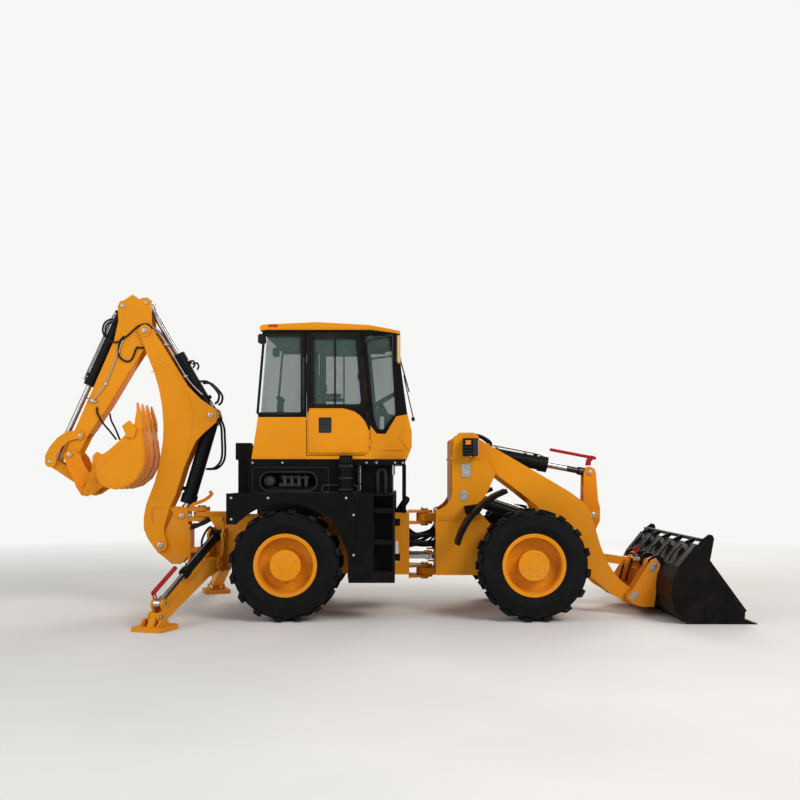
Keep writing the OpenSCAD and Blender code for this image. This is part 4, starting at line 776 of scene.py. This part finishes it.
# ---- Engine bay, steps and rear deck
COVER_BOLTS = ((-579, 1520), (-480, 1520), (-300, 1520), (-223, 1519), (-1690, 1520), (-1400, 1520))
FENDER_BOLTS = ((-1850, 1182), (-1500, 1182), (-760, 1182), (-690, 1020), (-690, 640), (-1850, 980))
for side, hand in BOTH:
    rail = Piece("cover_trim_" + hand, "rear", "trim", "black")
    rail.tube(rounded(-1618, -1062, 1242, 1428, 88, 6), 9, 8, 1, True, side * 738)
    rail.tube(rounded(-1690, -950, 1228, 1472, 26, 3), 5, 6, 1, True, side * 744)
    rail.tube(rounded(-1012, -664, 1228, 1298, 30, 4), 10, 8, 1, True, side * 752)
    rail.tube([(-470, 1226), (-470, 1420), (-430, 1455), (-395, 1420), (-395, 1226)], 16, 8, 4, y=side * 640)
    rail.make()
    parts = Piece("engine_parts_" + hand, "rear", "engine", "engine")
    parts.disc((-1540, side * 560, 1345), (0, side, 0),
               [(0, 62), (60, 62), (70, 50), (118, 50), (126, 20), (130, 2)], 20)
    parts.bar((-1440, side * 640, 1300), (-1220, side * 640, 1300), 26, 14)
    parts.bar((-1420, side * 655, 1380), (-1140, side * 655, 1375), 22, 14)
    for x in (-1400, -1330, -1260, -1190):
        parts.side_block(side, (x, 560, 1285), (x + 34, 690, 1400), 6)
    parts.side_block(side, (-1640, 270, 1150), (-1060, 560, 1290), 10)
    parts.make()
    steelwork = Piece("body_bolts_" + hand, "rear", "steel", "chrome")
    for y, size, spots in ((735, (8, 7), COVER_BOLTS), (1030, (9, 6), FENDER_BOLTS)):
        for x, z in spots:
            steelwork.bolt((x, side * y, z), (0, side, 0), *size)
    steelwork.bar((-321, side * 700, 1400), (-321, side * 700, 1500), 7, 10)
    for x in (-829, -721):
        steelwork.bar((x, side * 823, 1240), (x, side * 823, 1500), 5, 8)
    steelwork.make()
    cleaner = Piece("air_cleaner_" + hand, "rear", "trim", "black")
    x0, y0 = -775, side * 823
    for z in (1250, 1360, 1476):
        cleaner.disc((x0, y0, z), (0, 0, 1), [(0, 68), (3, 72), (13, 72), (16, 68)], 28)
    cleaner.disc((x0, y0, 1498), (0, 0, 1), [(0, 60), (14, 34), (26, 26)], 24)
    for a in angles(12):
        x, y = x0 + 62 * math.cos(a), y0 + 62 * math.sin(a)
        cleaner.block((x - 4, y - 4, 1520), (x + 4, y + 4, 1576), 1)
    cleaner.make()
    steps = Piece("step_treads_" + hand, "rear", "black", "black")
    for z in (470, 770, 1070):
        for y0 in range(866, 1036, 34):
            steps.side_block(side, (-496, y0, z), (-324, y0 + 9, z + 14), 2)
    steps.side_tube(side, [(-660, 1034, 1210), (-660, 1040, 1160), (-660, 1040, 760), (-660, 1034, 720)],
                    9, 8, 3)
    steps.make()
    lip = Piece("deck_edges_" + hand, "rear", "black", "black")
    lip.tube([(-1898, 1220), (-304, 1220)], 6, 6, 1, y=side * 1028)
    lip.tube(arc(REAR_AXLE, TYRE_R, 606, 20, 138), 8, 6, 1, y=side * 1028)
    lip.make()
    Piece("reflector_" + hand, "rear", "lens", "glass").side_block(
        side, (-300, 390, 525), (-270, 394, 730), 1).make()
    brackets = Piece("column_brackets_" + hand, "rear", "black", "black")
    for z in (535, 890):
        brackets.side_block(side, (-304, 389, z), (-252, 404, z + 70), 5)
    brackets.make()
    Piece("tail_lamps_" + hand, "rear", "lens_red", "glass").block(
        (-1906, side * 850 - 70, 1130), (-1897, side * 850 + 70, 1180), 3).make()

Piece("accumulator", "rear", "barrel", "black").turned(
    (-300, -300, 985), (-170, -300, 1178), [(0, 22), (8, 35), (205, 35), (222, 24), (232, 16)], 20).make()
grille = Piece("rear_grille", "rear", "trim", "black")
for k in range(11):
    grille.block((-1739, -330 + k * 62, 1250), (-1730, -300 + k * 62, 1470), 2)
grille.make()
stack = Piece("rear_boxes", "rear", "trim", "black")
for y in (-500, 380):
    for k in range(5):
        stack.block((-1893, y - 20, 1570 + 28 * k), (-1889, y + 140, 1582 + 28 * k), 1)
stack.make()

# ---- Articulation
joint = Piece("pivot_pins", "rear", "steel", "chrome")
for z in (325, 482, 880, 1050):
    joint.disc((0, 0, z), (0, 0, 1), [(-8, 30), (-4, 42), (4, 42), (8, 30)], 24)
    for a in angles(6):
        joint.bolt((26 * math.cos(a), 26 * math.sin(a), z + 8), (0, 0, 1), 5, 4)
joint.make()
random = np.random.default_rng(7)
for k in range(14):
    side = -1 if k % 2 else 1
    y0, y1 = side * random.uniform(60, 235), side * random.uniform(50, 240)
    z0, z1 = random.uniform(620, 880), random.uniform(620, 880)
    r = float(random.choice([11, 14, 17]))
    sag, drift = random.uniform(8, 60), random.uniform(-30, 30)
    h = Piece(f"gap_hose_{k}", None, "hose", "black").tube(
        [(-290, y0, z0), (-200, y0, z0 + 4), (-110, y0 * 0.7 + y1 * 0.3, (z0 * 2 + z1) / 3 - sag * 0.7),
         (-20, (y0 + y1) / 2 + drift, (z0 + z1) / 2 - sag),
         (70, y0 * 0.3 + y1 * 0.7, (z0 + z1 * 2) / 3 - sag * 0.6),
         (120, y1, z1 + 3), (150, y1, z1)], r, 10, 4)
    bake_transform(h.make())
shaft = Piece("joint_shaft", None, "steel", "chrome")
shaft.turned((-345, 0, 567.5), (345, 0, 567.5),
             [(0, 46), (24, 46), (26, 38), (60, 30), (75, 30), (80, 44), (110, 44), (115, 30), (570, 30),
              (575, 44), (605, 44), (610, 30), (664, 46), (690, 46)], 18)
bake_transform(shaft.make())

# ---- Boom and dipper
BOOM_VIEW = ((-3052, 3213.4), 1.718)
BOOM_HOSES = [  # radius, share of the hoses' spread, pixels
    (12, 1, [(415, 490), (470, 495), (530, 560), (530, 605), (510, 625)]),
    (10, 1, [(350, 372), (378, 366), (388, 388), (378, 408)]),
    (12, 0.9, [(520, 700), (545, 760), (550, 820), (550, 950), (510, 1010), (455, 1020)]),
]
BOOM_SEAMS = ([(130, 437), (185, 412), (240, 390)],
              [(270, 420), (330, 520), (368, 620), (382, 700), (372, 800), (340, 950)])
pipes = Piece("boom_pipes", "boom", "steel", "chrome")
top_edge = [(-2880, 2950), (-2790, 2880), (-2700, 2742), (-2600, 2575), (-2500, 2412), (-2420, 2310),
            (-2330, 2222)]
for y in (-92, -66, 66, 92):
    pipes.tube([(x + 20, y, z + 12) for x, z in top_edge], 8, 8, 3)
for x, z in ((-2700, 2742), (-2500, 2412)):
    pipes.block((x, -112, z + 2), (x + 40, 112, z + 24), 3)
pipes.make()
boom_hose = Piece("boom_hoses", "boom", "hose", "black")
for y in (-100, 100):
    for r, spread, run in BOOM_HOSES:
        boom_hose.tube(traced(BOOM_VIEW, run), r, 8, 5, y=y * spread)
boom_hose.make()
for side, hand in BOTH:
    seam = Piece("boom_seams_" + hand, "boom", "yellow", "yellow")
    ys = side_y(side, 134.5, 138)
    for run in BOOM_SEAMS:
        seam.strip(traced(BOOM_VIEW, run), 8, *ys)
    seam.strip([(-2822, 900), (-2827, 1040), (-2800, 1066), (-2716, 1072)], 10, *side_y(side, 134.5, 141))
    seam.strip([(-2806, 905), (-2808, 1032), (-2790, 1048), (-2716, 1052)], 6, *side_y(side, 134.5, 138))
    seam.make()

DIPPER_VIEW = ((-3988, 3422.5), 1.455)
PIPE_RUN = [(600, 400), (580, 455), (560, 510), (520, 610), (470, 740), (420, 810), (378, 858)]
PIPE_VALVE = [(375, 860)]
DIPPER_HOSES = [  # Y, pixels
    (-112, [(480, 430), (520, 442), (560, 440), (620, 400), (700, 330), (760, 315), (795, 345), (790, 420),
            (745, 480), (690, 480)]),
    (-112, [(690, 480), (650, 570), (600, 575), (560, 530), (570, 440), (600, 400)]),
    (-112, [(405, 905), (410, 950), (450, 1020), (500, 1080), (545, 1138)]),
    (-70, [(490, 950), (500, 1000), (530, 1060), (562, 1138)]),
]
dip_pipe = Piece("dipper_pipes", "dipper", "steel", "chrome")
dip_pipe.tube(traced(DIPPER_VIEW, PIPE_RUN), 7, 8, 3, y=-110)
for x, z in traced(DIPPER_VIEW, PIPE_RUN[2:5:2]):
    dip_pipe.block((x - 16, -118, z - 16), (x + 16, -99, z + 16), 4)
x, z = traced(DIPPER_VIEW, PIPE_VALVE)[0]
dip_pipe.bar((x - 40, -116, z + 14), (x + 44, -116, z - 14), 14, 12)
dip_pipe.bar((x, -130, z), (x, -100, z), 17, 14)
dip_pipe.make()
Piece("dipper_lever", "dipper", "red", "yellow").bar(
    (x - 14, -124, z + 8), (x - 78, -124, z + 34), 6, 8).make()
dip_hose = Piece("dipper_hoses", "dipper", "hose", "black")
for y, run in DIPPER_HOSES:
    dip_hose.tube(traced(DIPPER_VIEW, run), 10, 8, 5, y=y)
dip_hose.make()
Piece("dipper_underside", "dipper", "orange", "yellow").strip(
    [(-3060, 2486), (-3275, 2126), (-3460, 1858)], 10, -84, 84).make()
ram_pipe = Piece("dig_ram_pipe", "dig_barrel", "steel", "chrome")
a, b = Vector((-3133, 0, 3160)), Vector((-3876, 0, 1535))
t = (b - a).normalized()
n = Vector((t.z, 0, -t.x))
n = n if n.x < 0 else -n
for y in (-22, 22):
    ram_pipe.tube([a + t * d + n * off + Vector((0, y, 0)) for d, off in
                   ((110, 62), (150, 74), (500, 74), (840, 74), (862, 58))], 7, 8, 3)
ram_pipe.make()
RAM_HOSES = [(-66, [(456, 402), (441, 370), (440, 335), (458, 296), (500, 276), (530, 296)]),
             (-58, [(462, 402), (455, 365), (459, 325), (484, 298), (522, 304)])]
for k, (y, points) in enumerate(RAM_HOSES):
    h = Piece(f"dig_ram_hose_{k}", None, "hose", "black").tube(traced(DIPPER_VIEW, points), 11, 8, 5, y=y)
    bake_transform(h.make())

# Digging bucket: cutting lip, wear strips, seam and tooth pockets
dig = Piece("dig_strips", "dig_hitch", "yellow", "yellow")
for y in (-318, -110, 90, 298):
    dig.strip([(-2864, 1765), (-2845, 1600), (-2861, 1487), (-2925, 1369), (-3026, 1288), (-3143, 1254),
               (-3252, 1278)], 7, y, y + 22)
dig.make()
for side, hand in BOTH:
    seam = Piece("dig_seams_" + hand, "dig_hitch", "yellow", "yellow")
    ys = side_y(side, 319.5, 323)
    seam.strip(traced(DIPPER_VIEW, [(392, 1400), (560, 1240), (722, 1092)]), 9, *ys)
    seam.strip([(-2895, 1900), (-2872, 1740), (-2857, 1600), (-2874, 1488), (-2936, 1378), (-3032, 1300),
                (-3143, 1266)], 6, *ys)
    seam.make()
teeth = Piece("tooth_pockets", "dig_hitch", "yellow", "yellow")
for k in range(4):
    y = -290 + k * 580 / 3
    teeth.prism([(-2874, 1850), (-2956, 1866), (-2948, 1960), (-2936, 2040), (-2902, 2046), (-2872, 1950)],
                y - 36, y + 36, 5)
teeth.bar((-2905, -300, 1890), (-2905, 300, 1890), 12, 8)
teeth.make()

# ---- Swing post, stabilisers and rear hoses
hook = Piece("post_hook", "swing_post", "orange", "yellow")
hook.strip([(-2440, 1062), (-2400, 1098), (-2340, 1118), (-2290, 1140), (-2240, 1174), (-2214, 1206),
            (-2238, 1232)], 34, -78, -48)
hook.make()
swing = Piece("swing_pins", "rear", "steel", "chrome")
for z in (485, 1078):
    swing.disc((-2330, 0, z - 6), (0, 0, 1), [(0, 38), (4, 42), (10, 42), (12, 38)], 24)
swing.make()
REAR_HOSES = [(-150, 0), (-110, 22), (110, 10), (150, 30)]
for k, (y, dz) in enumerate(REAR_HOSES):
    h = Piece(f"swing_hose_{k}", None, "hose", "black").tube(
        [(x, y * spread, z + dz) for x, spread, z in
         ((-2085, 1, 900), (-2150, 1.1, 935), (-2230, 1.25, 930), (-2320, 1.15, 880), (-2400, 0.9, 850),
          (-2432, 0.62, 852))], 13, 8, 5)
    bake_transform(h.make())
LEG_HINGE = Vector((-2120, 470, 0))
LEG_REACH = (1505 - LEG_HINGE.y) / math.cos(math.radians(18))


def leg_frame(side):
    """Axes of a stabiliser's plane: outward, across, and its hinge."""
    a = math.radians(108 * side)
    return (Vector((math.cos(a), math.sin(a), 0)), Vector((-math.sin(a), math.cos(a), 0)),
            Vector((LEG_HINGE.x, side * LEG_HINGE.y, 0)))


for side, hand in BOTH:
    out, across, root = leg_frame(side)

    def leg_at(s, w, z):
        return root + out * s + across * (w * side) + Vector((0, 0, z))

    r0, r1 = leg_at(-80, 0, 800), leg_at(LEG_REACH - 62, 0, 232)
    ram = (r1 - r0).normalized()
    up = (Vector((0, 0, 1)) - ram * ram.z).normalized()
    span = (r1 - r0).length
    off = up * 86 + across * side * 54
    tube = Piece("leg_lock_" + hand, "leg_rod_" + hand, "red", "yellow")
    tube.tube([r0 + ram * (span - 470) + off, r0 + ram * (span - 40) + off], 22, 14, 1)
    for w in (-18, 18):
        p = r0 + ram * (span - 40) + off + across * side * w
        q = r0 + ram * (span + 8) + across * side * (w * 0.6 + 8) + up * 20
        tube.tube([p, q], 8, 8, 1)
    tube.make()
    fit = Piece("leg_fittings_" + hand, "leg_barrel_" + hand, "hose", "black")
    fit.tube([leg_at(-20, 20, 830), leg_at(-10, 40, 880), leg_at(60, 52, 840), leg_at(150, 46, 760),
              r0 + ram * 330 + up * 62], 11, 8, 5)
    fit.make()
    lines = Piece("leg_pipe_" + hand, "leg_barrel_" + hand, "steel", "chrome")
    lines.tube([r0 + ram * d + up * 58 - across * side * 20 for d in (120, 400, 690)], 7, 8, 1)
    lines.make()
    pins = Piece("leg_pins_" + hand, "leg_" + hand, "steel", "chrome")
    for s, z in ((LEG_REACH, 118), (LEG_REACH - 62, 232)):
        for w in (-67, 67):
            c = leg_at(s, w * side, z)
            pins.disc(c, (c - leg_at(s, 0, z)).normalized(), [(0, 20), (7, 20), (9, 16), (9, 1)], 18)
    pins.make()
    edges = Piece("pad_edges_" + hand, "pad_" + hand, "frame_yellow", "yellow")
    for s in (-146, 138):
        corners = [leg_at(LEG_REACH + s + ds, w, z) for z in (38, 48) for ds, w in
                   ((0, -146), (8, -146), (8, 146), (0, 146))]
        edges.add([at(*c) for c in corners],
                  [(0, 3, 2, 1), (4, 5, 6, 7), (0, 1, 5, 4), (1, 2, 6, 5), (2, 3, 7, 6), (3, 0, 4, 7)])
    edges.make()

# ---- Floor and light
BACKDROP = (0.93, 0.93, 0.92, 1)
floor_mesh = bpy.data.meshes.new("floor")
FLOOR_HALF, FLOOR_Z = 60, -0.001
floor_mesh.from_pydata([(sx * FLOOR_HALF, sy * FLOOR_HALF, FLOOR_Z)
                        for sx, sy in ((-1, -1), (1, -1), (1, 1), (-1, 1))], [], [(0, 1, 2, 3)])
floor = bpy.data.objects.new("floor", floor_mesh)
bpy.context.scene.collection.objects.link(floor)
floor_look = Shade("studio_floor", (0.74, 0.73, 0.71), 0.85)
floor_look.link(floor_look.ramp(floor_look.noise(0.6, 5.0), 0.3, 0.7, (0.72, 0.71, 0.69), (0.78, 0.77, 0.75)),
                "Base Color")
away = floor_look.node("ShaderNodeVectorMath", {0: floor_look.coords}, operation="LENGTH").outputs["Value"]
glow = floor_look.node("ShaderNodeEmission", {"Color": BACKDROP}).outputs[0]
fade = floor_look.node("ShaderNodeMixShader", {0: floor_look.grey(away, 5.5, 13.0),
                                               1: floor_look.bsdf.outputs[0], 2: glow}).outputs[0]
floor_look.plug(floor_look.tree.nodes["Material Output"].inputs["Surface"], fade)
floor_mesh.materials.append(floor_look.mat)

world = bpy.data.worlds.new("studio")
bpy.context.scene.world = world
world.use_nodes = True
sky = Tree(world.node_tree)
light = sky.tree.nodes["Background"]
light.inputs["Color"].default_value = (0.93, 0.96, 1.0, 1)
light.inputs["Strength"].default_value = 0.5
seen = sky.node("ShaderNodeBackground", {"Color": BACKDROP}).outputs[0]
rays = sky.node("ShaderNodeLightPath").outputs
either = sky.node("ShaderNodeMath", {0: rays["Is Camera Ray"], 1: rays["Is Transmission Ray"]},
                  operation="MAXIMUM").outputs[0]
blend = sky.node("ShaderNodeMixShader", {0: either, 1: light.outputs[0], 2: seen}).outputs[0]
sky.plug(sky.tree.nodes["World Output"].inputs["Surface"], blend)


def area(name, place, aim, size, watts, color=(1, 1, 1)):
    data = bpy.data.lights.new(name, "AREA")
    data.size, data.energy, data.color = size, watts, color
    lamp = bpy.data.objects.new(name, data)
    lamp.location = place
    lamp.visible_camera = False
    lamp.rotation_euler = (Vector(aim) - Vector(place)).to_track_quat("-Z", "Y").to_euler()
    bpy.context.scene.collection.objects.link(lamp)


area("key", (6.5, -9.0, 8.0), (0, 0, 1.2), 5, 780, (1.0, 0.95, 0.88))
area("fill", (-8.0, -8.0, 5.0), (0, 0, 1.2), 7, 340, (0.95, 0.97, 1.0))
area("back", (3.0, 10.0, 7.0), (0, 0, 1.4), 6, 700, (1.0, 0.93, 0.82))

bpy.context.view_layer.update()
